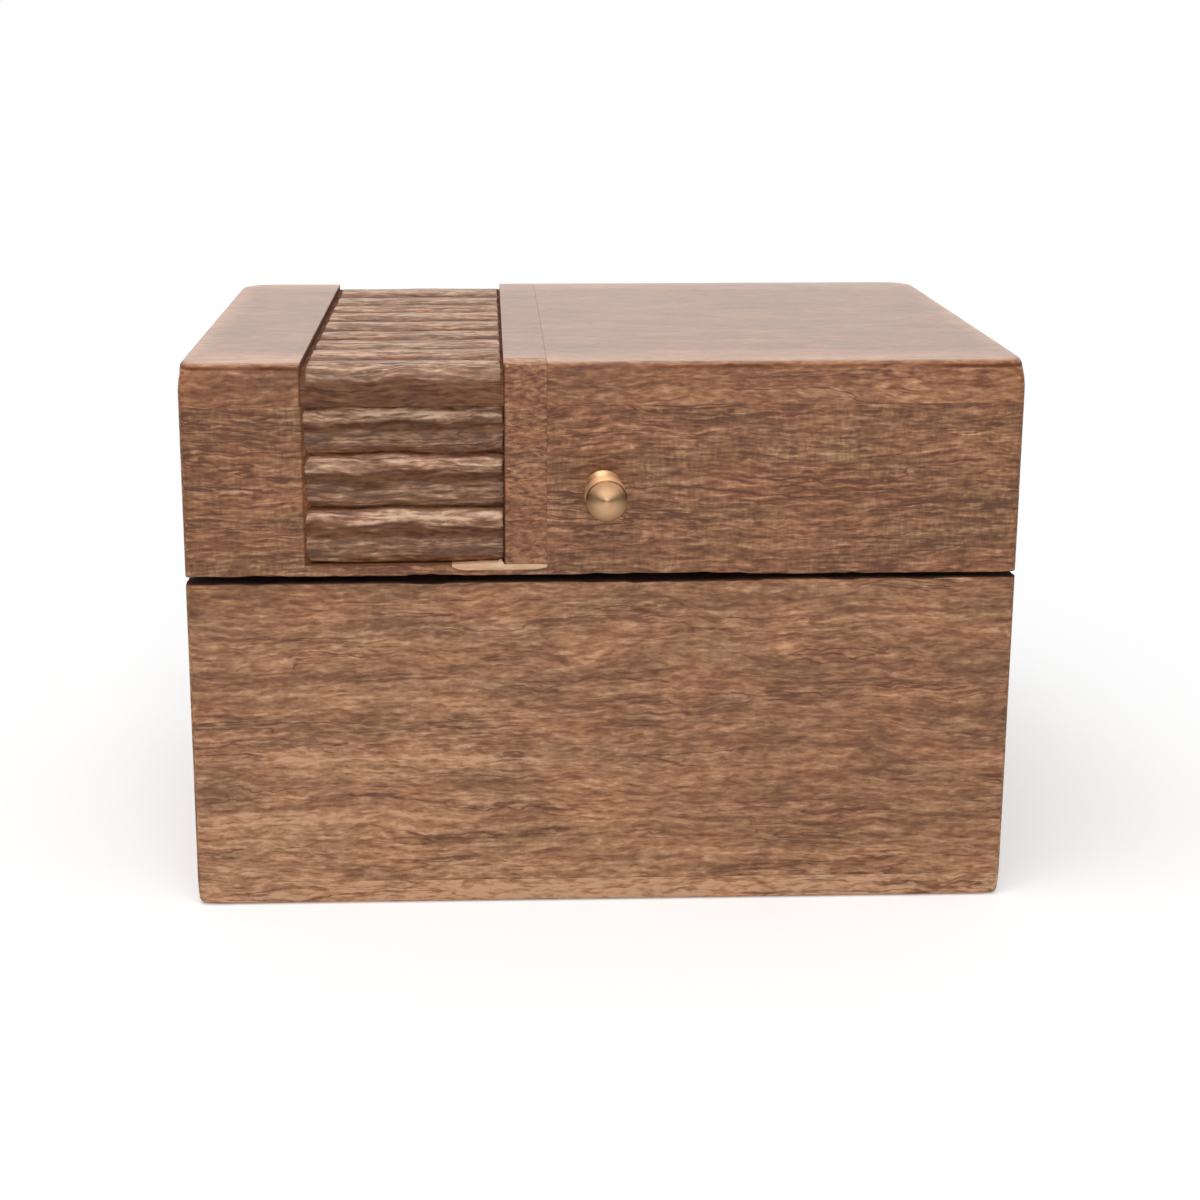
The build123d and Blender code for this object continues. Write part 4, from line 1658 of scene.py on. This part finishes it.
@dataclass
class Knob:
    """The turned brass knob: a flange that tapers to its neck, and a faced head."""

    bore: float = 0.2
    flange_radius: float = 4.0
    flange_thickness: float = 0.7
    neck_radius: float = 2.7
    neck_length: float = 5.1
    neck_taper: float = 1.9
    taper_ease: Span = (0.1, 0.15)
    head_radius: float = 4.4
    head_thickness: float = 5.4
    flange_round: float = 0.25
    head_round: float = 0.3
    round_steps: tuple[int, ...] = (0, 22, 45, 68, 90)
    face_rise: float = 0.4
    face_steps: tuple[float, ...] = (0.2, 0.4, 0.6, 0.8, 0.92, 1.0)
    face_centre: float = 0.02
    turns: int = 96
    sharp: float = 42.0

    def build(self, brass: TurnedBrass) -> None:
        """Turn the knob on its axis and put it on the lid.

        Args:
            brass: The knob's metal.
        """
        low, high = node_box("knob")
        axis = Vector((0.0, 0.0, (low.z + high.z) / 2))
        form = bmesh.new()
        rings = []
        for radius, reach in self._profile():
            ring = []
            for turn in range(self.turns):
                angle = math.tau * turn / self.turns
                place = Vector((radius * math.cos(angle), high.y - reach, radius * math.sin(angle)))
                ring.append(form.verts.new((place + axis) * MM))
            rings.append(ring)
        for inner, outer in zip(rings, rings[1:]):
            for turn in range(self.turns):
                after = (turn + 1) % self.turns
                form.faces.new((inner[turn], outer[turn], outer[after], inner[after]))
        form.faces.new(reversed(rings[0]))
        form.faces.new(rings[-1])
        bmesh.ops.recalc_face_normals(form, faces=form.faces)
        mesh = bpy.data.meshes.new("knob_turned")
        form.to_mesh(mesh)
        form.free()
        mesh.shade_smooth()
        mesh.set_sharp_from_angle(angle=math.radians(self.sharp))
        centre = Vector((0.0, high.y, axis.z)) * MM
        edge = self.flange_thickness + self.neck_length + self.head_thickness - self.head_round / 2
        piece = add_piece(mesh, "knob_turned", brass.make(centre, edge * MM))
        hand_over(piece, "lid", "turned_brass", "knob")

    def _profile(self) -> list[Span]:
        """Outline of the knob from the wood outwards.

        Returns:
            The radius of each ring and its reach from the wood.
        """
        back = self.flange_thickness
        head_back = back + self.neck_length
        head_front = head_back + self.head_thickness
        quarter = [math.radians(step) for step in self.round_steps]
        small, edge = self.flange_round, self.head_round
        rings = [(self.bore, 0.0), (self.flange_radius, 0.0)]
        rings += [
            (
                self.flange_radius - small + small * math.cos(angle),
                back - small + small * math.sin(angle),
            )
            for angle in quarter[:3]
        ]
        wider, sooner = self.taper_ease
        rings += [
            (self.neck_radius + wider, back + self.neck_taper - sooner),
            (self.neck_radius, back + self.neck_taper),
            (self.neck_radius, head_back),
        ]
        face = self.head_radius - edge
        rings += [
            (face + edge * math.sin(angle), head_back + edge - edge * math.cos(angle))
            for angle in quarter
        ]
        rings += [
            (face + edge * math.cos(angle), head_front - edge + edge * math.sin(angle))
            for angle in quarter
        ]
        rings += [
            (face * (1 - share) + self.face_centre, head_front + self.face_rise * share)
            for share in self.face_steps
        ]
        return rings


class Workshop:
    """All the finishes of the box, made once and kept by name."""

    slots = {
        "mango_filler": "filler_wood",
        "mango_filler_top": "filler_wood",
        "pale_sapwood": "pale_wood",
    }
    line_drop = 1.1

    def __init__(self) -> None:
        """Make every finish."""
        base_figures = {"painted_foot_light": 0.14, "fibre": 1.05, "streak": 0.9, "band": 0.6, "patch": 0.45}
        lid_figures = {
            "tone": 0.45,
            "cross": 0.6,
            "fibre": 1.5,
            "fleck": 0.35,
            "crease": 0.6,
            "fibre_figure": Figure(7.0, 0.8, 2.5, 0.55),
        }
        top_finish = {
            "polish": 0.7,
            "calm": 0.6,
            "hollow": 0.75,
            "rubbed_and_lit": 0.35,
            "dark_line": ArrisLine(node_box("top_right_board")[1].z - self.line_drop),
            "shades": ("#1d0c04", "#5c2c0f", "#8b5632", "#ad7a54", "#cb9a76"),
        }
        woods = (
            MangoWood("mango_base_front", cut_from=(11.0, 4.0, 52.0), tone=0.56, **base_figures),
            MangoWood("mango_base_side", Grain.ALONG_Y, (40.0, 17.0, 90.0), **base_figures),
            MangoWood("mango_base_back", cut_from=(300.0, 70.0, 20.0), **base_figures),
            # Paler: lighter wood, and painted light for the floor's bounce
            MangoWood("mango_bottom", cut_from=(70.0, 33.0, 5.0), tone=0.84, cross=0.1),
            MangoWood("mango_lid_front", cut_from=(500.0, 8.0, 140.0), **lid_figures),
            MangoWood("mango_lid_side", Grain.ALONG_Y, (420.0, 9.0, 60.0), **lid_figures),
            MangoWood("mango_lid_back", cut_from=(360.0, 20.0, 110.0), **lid_figures),
            MangoWood(
                "mango_top", cut_from=(120.0, 45.0, 200.0), tone=0.54, patch=0.5, fibre=1.0,
                fibre_figure=Figure(3.2, 0.8, 2.0), **top_finish,
            ),
            MangoWood(
                "mango_carved", cut_from=(250.0, 66.0, 33.0), tone=0.47, streak=0.75,
                fibre=1.6, fleck=0.3, fibre_figure=Figure(6.0, 0.85, 2.0), relief=0.22,
                hollow=0.68, darkest=0.17, rubbed_and_lit=0.47,
                shades=("#1d0c04", "#51290f", "#805638", "#a97e60", "#cca88c"),
            ),
            MangoWood(
                "mango_filler", cut_from=(210.0, 31.0, 77.0), tone=0.46, streak=0.3,
                fibre_figure=Figure(2.2, 0.8, 3.0, 0.6), fleck_figure=Figure(1.7, 0.6, 1.0),
                fleck=0.4, shades=top_finish["shades"],
            ),
            MangoWood(
                "mango_filler_top", cut_from=(215.0, 35.0, 71.0), tone=0.52, streak=0.3,
                fibre_figure=Figure(2.6, 0.9, 3.0, 0.6), patch=0.4, **top_finish,
            ),
            MangoWood(
                "pale_sapwood", cut_from=(0.0, 12.0, 8.0), tone=0.5, cross=0.05, crease=0.1,
                fleck=0.1, shades=("#94694a", "#bd8f6b", "#d6ab88", "#e2bd9d", "#eed2b8"),
            ),
        )
        self.woods = {wood.name: wood.make() for wood in woods}
        self.hinge_brass = DrawnMetal("hinge_brass", "#c9a468", "#94713d", 0.38).make()
        self.steel = DrawnMetal("plated_steel", "#b9b9b6", "#84827e", 0.34).make()

    def fit_boards(self, body: str, boards: tuple[Board, ...], block: WornBlock) -> None:
        """Plane the boards of one body and put them in place.

        Args:
            body: The body that carries them.
            boards: The boards.
            block: The body's outer form.
        """
        for board in boards:
            piece = add_piece(board.build(block), f"{board.node}_board", self.woods[board.finish])
            hand_over(piece, body, self.slots.get(board.finish, "mango_wood"), board.node)


def hinge_mortises(leaf: str, rim: float, side: int) -> tuple[Recess, ...]:
    """Sinkings for one leaf of each hinge in the rim of a back wall.

    Args:
        leaf: Which leaf of the hinges lies in them, lower or upper.
        rim: Level of the rim, in millimetres.
        side: 1 where the rim looks up, -1 where it looks down.

    Returns:
        The left and the right recess.
    """
    leaf_thickness, under_leaf = 0.8, 0.01
    clearance, past_back, past_rim = 0.1, 5.0, 1.0
    mortises = []
    for hinge in ("left", "right"):
        low, high = node_box(f"hinge_{hinge}_{leaf}_leaf")
        mortise = Recess(
            axis=2,
            side=side,
            low=(low.x - clearance, low.y - clearance, rim - past_rim),
            high=(high.x + clearance, high.y + past_back, rim + past_rim),
            depth=leaf_thickness + under_leaf,
        )
        mortises.append(mortise)
    return tuple(mortises)


def seam_shade() -> GapShade:
    """Dark line that hands and dust leave where the lid meets the base.

    Returns:
        The stain, which the walls of both bodies share.
    """
    base_rim, lid_rim = node_box("base_front")[1].z, node_box("lid_front")[0].z
    beyond, below, above = 200.0, 0.08, 0.03
    low = (-beyond, -beyond, base_rim - below)
    high = (beyond, beyond, lid_rim + above)
    return GapShade(low, high, fade=0.3, unevenness=0.9)


def build_base(shop: Workshop) -> None:
    """Build the lower box: a bottom board planted under four mitred walls.

    Args:
        shop: The finishes.
    """
    low, high = node_box("base_bottom")
    high.z = node_box("base_front")[1].z
    mortises = hinge_mortises("lower", high.z, 1)
    # Painted shade along the seam
    seam = (seam_shade(),)
    boards = (
        Board("base_bottom", "mango_bottom"),
        Board("base_front", "mango_base_front", Mitre.LENGTH_X, gap_shades=seam),
        Board("base_back", "mango_base_back", Mitre.LENGTH_X, mortises, seam),
        Board("base_left_side", "mango_base_side", Mitre.LENGTH_Y, gap_shades=seam),
        Board("base_right_side", "mango_base_side", Mitre.LENGTH_Y, gap_shades=seam),
    )
    shop.fit_boards("base", boards, WornBlock(low, high, seam_side=1))


@dataclass
class LidBox:
    """The lid: four mitred walls, a top of boards and strips, and the front channel."""

    corner_wear: float = 1.5
    past_face: float = 1.0
    gap_width: float = 0.1
    clean_above: Span = (0.5, 0.4)
    wedge_gap_low: float = 0.05
    wedge_gap_high: float = 0.1
    wedge_gap_stop: float = 2.0
    fade: float = 0.3

    def build(self, shop: Workshop) -> None:
        """Plane the boards and put them in place.

        Args:
            shop: The finishes.
        """
        low, _ = node_box("top_left_board")
        _, high = node_box("top_right_board")
        low.z = node_box("lid_front")[0].z
        mortises = hinge_mortises("upper", low.z, -1)
        panel_low, panel_high = node_box("carved_front_panel")
        _, strip_high = node_box("front_filler_strip")
        channel = Recess(
            axis=1,
            side=-1,
            low=(panel_low.x, low.y - self.past_face, panel_low.z),
            high=(strip_high.x, panel_high.y + self.past_face, panel_high.z + self.past_face),
            depth=panel_high.y - low.y,
        )
        # Painted shade along the seam, round the panel's channel, under the wedge and in the gaps beside
        # the panel
        seam = seam_shade()
        behind_panel = (panel_high.x, *channel.high[1:])
        panel_gap = GapShade(channel.low, behind_panel, fade=self.fade, strength=0.35)
        wedge_low, _ = node_box("light_wedge")
        wedge_gap = GapShade(
            (wedge_low.x, low.y - self.past_face, wedge_low.z - self.wedge_gap_low),
            (
                panel_high.x - self.wedge_gap_stop,
                low.y + self.past_face,
                wedge_low.z + self.wedge_gap_high,
            ),
            fade=self.fade,
            strength=0.5,
        )
        left_clean, right_clean = self.clean_above
        left_gap = GapShade(
            (panel_low.x - self.gap_width, channel.low[1], panel_low.z),
            (panel_low.x, high.y, high.z - left_clean),
        )
        right_gap = GapShade(
            (panel_high.x, channel.low[1], panel_low.z),
            (panel_high.x + self.gap_width, high.y, high.z - right_clean),
            fade=self.fade,
        )
        boards = (
            ChannelBoard(
                "lid_front",
                "mango_lid_front",
                Mitre.LENGTH_X,
                (channel,),
                (seam, panel_gap, wedge_gap),
            ),
            Board("lid_back", "mango_lid_back", Mitre.LENGTH_X, mortises, (seam,)),
            Board("lid_left_side", "mango_lid_side", Mitre.LENGTH_Y, gap_shades=(seam,)),
            Board("lid_right_side", "mango_lid_side", Mitre.LENGTH_Y, gap_shades=(seam,)),
            Board("top_left_board", "mango_top", gap_shades=(left_gap,)),
            Board("top_right_board", "mango_top"),
            Board("top_filler_strip", "mango_filler_top", gap_shades=(right_gap,)),
            Board("front_filler_strip", "mango_filler", gap_shades=(right_gap,)),
            WedgeBoard("light_wedge", "pale_sapwood", joint_ease=0.05, mesh_step=0.7),
        )
        block = WornBlock(low, high, seam_side=-1, corner_wear=self.corner_wear)
        shop.fit_boards("lid", boards, block)


@dataclass
class HingeScrews:
    """Countersunk brass wood screws, two to a leaf, driven home by hand."""

    head_radius: float = 1.7
    head_lip: float = 0.03
    shank_radius: float = 0.8
    shank_share: float = 0.33
    least_radius: float = 0.03
    point: float = 2.2
    point_radius: float = 0.05
    thread_pitch: float = 0.9
    thread_depth: float = 0.16
    slot_width: float = 0.5
    slot_depth: float = 0.55
    spacing: float = 15.0
    around: int = 32
    rings: int = 60
    sharp: float = 30.0

    def build(self, finish: bpy.types.Material) -> None:
        """Turn the screws of both bodies and drive them.

        Args:
            finish: The brass of the hinges.
        """
        tree = self._screw_tree()
        rows = (
            ("base_screws", "base_hinge_screws", "base", 0.0),
            ("lid_screws", "lid_hinge_screws", "lid", math.pi),
        )
        for name, node, body, turn in rows:
            low, high = node_box(node)
            rim = high.z if turn == 0.0 else low.z
            sizes = {
                "Head Radius": self.head_radius,
                "Shank Radius": self.shank_radius,
                "Length": high.z - low.z,
                "Point": self.point,
                "Thread Pitch": self.thread_pitch,
                "Thread Depth": self.thread_depth,
                "Slot Width": self.slot_width,
                "Slot Depth": self.slot_depth,
                "Spacing": self.spacing,
                "Hinge Spacing": high.x - low.x - 2 * self.head_radius - self.spacing,
                "Seed": 7,
                "Turn": Euler((turn, 0.0, 0.0)),
                "Place": Vector((0.0, (low.y + high.y) / 2, rim)) * MM,
                "Material": finish,
            }
            piece = grow_piece(name, tree, sizes, self.sharp)
            hand_over(piece, body, "hinge_brass", node)

    def _screw_tree(self) -> Tree:
        """Geometry tree of the screws of one body, heads up at the origin's level.

        Returns:
            The tree.
        """
        sockets = {
            "Float": (
                "Head Radius", "Shank Radius", "Length", "Point", "Thread Pitch",
                "Thread Depth", "Slot Width", "Slot Depth", "Spacing", "Hinge Spacing",
            ),
            "Int": ("Seed",),
            "Rotation": ("Turn",),
            "Vector": ("Place",),
            "Material": ("Material",),
        }
        tree = open_tree("countersunk_screws", sockets)
        wanted = add_node(tree, "NodeGroupInput").outputs
        turned = self._turn_screw(tree, wanted)
        across = add_node(tree, MATH, (wanted["Head Radius"], 3.0), operation="MULTIPLY")
        twice = add_node(tree, MATH, (wanted["Slot Depth"], 2.0), operation="MULTIPLY")
        slot = add_node(tree, COMBINE, (across, wanted["Slot Width"], twice))
        slot = add_node(tree, "GeometryNodeMeshCube", {"Size": slot})
        screw = add_node(tree, "GeometryNodeMeshBoolean", (turned, slot), operation="DIFFERENCE")

        # Two hinges, and two screws in each leaf, every slot stopped at its own angle
        rows = []
        for gap in ("Hinge Spacing", "Spacing"):
            half = add_node(tree, MATH, (wanted[gap], -0.5), operation="MULTIPLY")
            line = {
                "Count": 2,
                "Start Location": add_node(tree, COMBINE, (half,)),
                "Offset": add_node(tree, COMBINE, (wanted[gap],)),
            }
            rows.append(add_node(tree, "GeometryNodeMeshLine", line))
        pairs = add_node(tree, "GeometryNodeInstanceOnPoints", {"Points": rows[0], "Instance": rows[1]})
        places = add_node(tree, "GeometryNodeRealizeInstances", {"Geometry": pairs})
        angle = {"Max": (0.0, 0.0, math.pi), "Seed": wanted["Seed"]}
        angle = add_node(tree, "FunctionNodeRandomValue", angle, data_type="FLOAT_VECTOR")
        driven = {"Points": places, "Instance": screw, "Rotation": angle.outputs[0]}
        driven = add_node(tree, "GeometryNodeInstanceOnPoints", driven)
        close_tree(tree, wanted, driven)
        return tree

    def _turn_screw(self, tree: Tree, wanted: Sockets) -> Node:
        """Turn one screw without its slot: head, shank, thread and point.

        Args:
            tree: The screws' tree.
            wanted: Its inputs.

        Returns:
            The node of the screw's shape.
        """
        blank = {
            "Vertices": self.around,
            "Side Segments": self.rings,
            "Radius": 1.0,
            "Depth": wanted["Length"],
        }
        blank = add_node(tree, "GeometryNodeMeshCylinder", blank)
        at = add_node(tree, "GeometryNodeInputPosition")
        at = add_node(tree, SEPARATE, {"Vector": at}).outputs
        down = add_node(tree, MATH, (at["Z"], -1.0), operation="MULTIPLY")
        down = add_node(tree, MATH, (wanted["Length"], 0.5, down), operation="MULTIPLY_ADD")
        head = add_node(tree, MATH, (wanted["Head Radius"], down), operation="SUBTRACT")
        widest = add_node(tree, MATH, (wanted["Head Radius"], self.head_lip), operation="SUBTRACT")
        head = add_node(tree, MATH, (head, widest), operation="MINIMUM")
        to_point = add_node(tree, MATH, (wanted["Length"], down), operation="SUBTRACT")
        tapered = (to_point, 0.0, wanted["Point"], self.point_radius, wanted["Shank Radius"])
        tapered = add_node(tree, MAP_RANGE, tapered)
        turns = add_node(tree, MATH, (at["Y"], at["X"]), operation="ARCTAN2")
        turns = add_node(tree, MATH, (turns, math.tau), operation="DIVIDE")
        lead = add_node(tree, MATH, (down, wanted["Thread Pitch"]), operation="DIVIDE")
        lead = add_node(tree, MATH, (lead, turns), operation="ADD")
        ridge = add_node(tree, MATH, (lead, 2.0), operation="MULTIPLY")
        ridge = add_node(tree, MATH, (ridge, 1.0), operation="PINGPONG")
        cut = add_node(tree, MATH, (ridge, wanted["Thread Depth"]), operation="MULTIPLY")
        plain = add_node(tree, MATH, (wanted["Length"], self.shank_share), operation="MULTIPLY")
        threaded = add_node(tree, MATH, (down, plain), operation="GREATER_THAN")
        cut = add_node(tree, MATH, (cut, threaded), operation="MULTIPLY")
        shank = add_node(tree, MATH, (tapered, cut), operation="SUBTRACT")
        shank = add_node(tree, MATH, (shank, self.least_radius), operation="MAXIMUM")
        radius = add_node(tree, MATH, (head, shank), operation="MAXIMUM")
        put = (
            add_node(tree, MATH, (at["X"], radius), operation="MULTIPLY"),
            add_node(tree, MATH, (at["Y"], radius), operation="MULTIPLY"),
            add_node(tree, MATH, (down, -1.0), operation="MULTIPLY"),
        )
        put = {"Geometry": blank, "Position": add_node(tree, COMBINE, put)}
        return add_node(tree, "GeometryNodeSetPosition", put)


def dress_metal(shop: Workshop) -> None:
    """Give the CAD nodes that stay as they are their metal: the hinges and pins.

    Args:
        shop: The finishes.
    """
    for name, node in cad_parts.items():
        if node.hide_render:
            continue
        metal = shop.steel if name == "knob_screw" else shop.hinge_brass
        if not node.data.materials:
            node.data.materials.append(metal)
        for slot in node.material_slots:
            slot.link = "OBJECT"
            slot.material = metal
        log.info("%s: dressed in %s", name, metal.name)


@dataclass
class Studio:
    """White sweep, a broad soft lamp overhead, and the photograph's camera.

    The eye, the lamps and the aim are in millimetres, the floor's sizes in metres.
    """

    eye: Place = (-24.8, -467.8, 196.7)
    yaw: float = 1.75
    tilt: float = 12.65
    lens: float = 59.0
    shift: Span = (0.045, -0.13)
    front_gloss: float = 0.15
    floor_gloss: float = 0.75
    floor_reach: float = 3.0
    shadow_reach: Span = (0.13, 0.3)
    paper: Colour = (0.8, 0.8, 0.8, 1.0)
    paper_glow: float = 0.3
    dark_beyond: Span = (-0.5, -0.3)
    room_level: float = 0.55
    behind_range: Span = (-0.25, 0.3)
    above_range: Span = (0.3, 0.75)
    aim: Place = (0.0, 0.0, 60.0)

    def build(self) -> None:
        """Put up the camera, the sweep, the room and the lamps."""
        self._camera()
        self._floor()
        self._room()
        self._lamp("key_lamp", (-120.0, -320.0, 950.0), (700.0, 500.0), 4.4)
        self._lamp("front_lamp", (60.0, -1100.0, 250.0), (900.0, 500.0), 2.0)

    def _camera(self) -> None:
        """Place the camera by the turn and the tilt of its line of sight."""
        data = bpy.data.cameras.new("camera")
        data.lens = self.lens
        data.shift_x, data.shift_y = self.shift
        camera = bpy.data.objects.new("camera", data)
        yaw, tilt = math.radians(self.yaw), math.radians(self.tilt)
        ahead = Vector(
            (math.sin(yaw) * math.cos(tilt), math.cos(yaw) * math.cos(tilt), -math.sin(tilt))
        )
        camera.location = Vector(self.eye) * MM
        camera.rotation_mode = "QUATERNION"
        camera.rotation_quaternion = ahead.to_track_quat("-Z", "Y")
        bpy.context.scene.collection.objects.link(camera)
        bpy.context.scene.camera = camera

    def _mirrored(self, tree: Tree, path: Sockets) -> Node:
        """Node that is 1 for a ray that comes from a gloss or a glass, and 0 otherwise."""
        kinds = (path["Is Glossy Ray"], path["Is Transmission Ray"])
        return add_node(tree, MATH, kinds, operation="MAXIMUM")

    def _floor(self) -> None:
        """Lay a pale sweep that keeps the box's soft shadow and is white further out."""
        mesh = bpy.data.meshes.new("floor")
        reach = self.floor_reach
        corners = [(-reach, -reach, 0), (reach, -reach, 0), (reach, reach, 0), (-reach, reach, 0)]
        mesh.from_pydata(corners, [], [(0, 1, 2, 3)])
        material = new_material("white_sweep")
        tree = material.node_tree
        paper = add_node(tree, "ShaderNodeBsdfDiffuse", {"Color": self.paper})
        path = add_node(tree, "ShaderNodeLightPath").outputs
        seen = (path["Is Camera Ray"], self._mirrored(tree, path))
        seen = add_node(tree, MATH, seen, operation="MAXIMUM")
        here = add_node(tree, "ShaderNodeTexCoord").outputs["Object"]
        away = add_node(tree, VECTOR_MATH, (here,), operation="LENGTH")
        fade = add_node(tree, MAP_RANGE, (away, *self.shadow_reach), interpolation_type="SMOOTHSTEP")
        near = add_node(tree, "ShaderNodeEmission", {"Color": WHITE, "Strength": self.paper_glow})
        glow = add_node(tree, "ShaderNodeMixShader", {0: path["Is Camera Ray"], 2: near})
        both = add_node(tree, "ShaderNodeAddShader", (paper, glow))
        ahead = add_node(tree, SEPARATE, {"Vector": here}).outputs["Y"]
        gloss = add_node(tree, MAP_RANGE, (ahead, *self.dark_beyond, self.front_gloss, self.floor_gloss))
        level = add_node(tree, MIX, {0: path["Is Camera Ray"], 2: gloss, 3: 1.0})
        white = add_node(tree, "ShaderNodeEmission", {"Color": WHITE, "Strength": level})
        far = add_node(tree, MATH, (fade, seen), operation="MULTIPLY")
        mixed = add_node(tree, "ShaderNodeMixShader", (far, both, white))
        add_node(tree, "ShaderNodeOutputMaterial", {"Surface": mixed})
        floor = add_piece(mesh, "floor", material)

    def _room(self) -> None:
        """Light a room, white to the eye; its camera side is dark to what reflects it."""
        world = bpy.data.worlds.new("room")
        world.use_nodes = True
        bpy.context.scene.world = world
        tree = world.node_tree
        tree.nodes.clear()
        path = add_node(tree, "ShaderNodeLightPath").outputs
        way = add_node(tree, "ShaderNodeTexCoord").outputs["Generated"]
        way = add_node(tree, SEPARATE, {"Vector": way}).outputs
        behind = (way["Y"], *self.behind_range)
        behind = add_node(tree, MAP_RANGE, behind, interpolation_type="SMOOTHSTEP")
        above = add_node(tree, MAP_RANGE, (way["Z"], *self.above_range), interpolation_type="SMOOTHSTEP")
        lit = add_node(tree, MATH, (behind, above), operation="MAXIMUM")
        gloss = add_node(tree, MAP_RANGE, {"Value": lit, "To Min": self.front_gloss, "To Max": 1.0})
        level = add_node(tree, MIX, {0: self._mirrored(tree, path), 2: self.room_level, 3: gloss})
        level = add_node(tree, MIX, {0: path["Is Camera Ray"], 2: level, 3: 1.0})
        back = add_node(tree, "ShaderNodeBackground", {"Color": WHITE, "Strength": level})
        add_node(tree, "ShaderNodeOutputWorld", {"Surface": back})

    def _lamp(self, name: str, place: Place, size: Span, power: float) -> None:
        """Hang a soft rectangular lamp that looks at the middle of the box.

        Args:
            name: The lamp's name.
            place: Where it hangs, in millimetres.
            size: Its width and height, in millimetres.
            power: Its power in watts.
        """
        data = bpy.data.lights.new(name, "AREA")
        data.shape = "RECTANGLE"
        data.size, data.size_y = size[0] * MM, size[1] * MM
        data.energy = power
        lamp = bpy.data.objects.new(name, data)
        lamp.location = Vector(place) * MM
        aim = Vector(self.aim) * MM - lamp.location
        lamp.rotation_euler = aim.to_track_quat("-Z", "Y").to_euler()
        bpy.context.scene.collection.objects.link(lamp)


def main() -> None:
    """Build and dress the box in order."""
    logging.basicConfig(level=logging.INFO, format="%(name)s: %(message)s")
    bpy.context.scene.view_settings.view_transform = "Standard"
    shop = Workshop()
    build_base(shop)
    LidBox().build(shop)
    CarvedBand().build(shop.woods["mango_carved"])
    Knob().build(TurnedBrass())
    HingeScrews().build(shop.hinge_brass)
    dress_metal(shop)
    Studio().build()


if __name__ == "__main__":
    main()
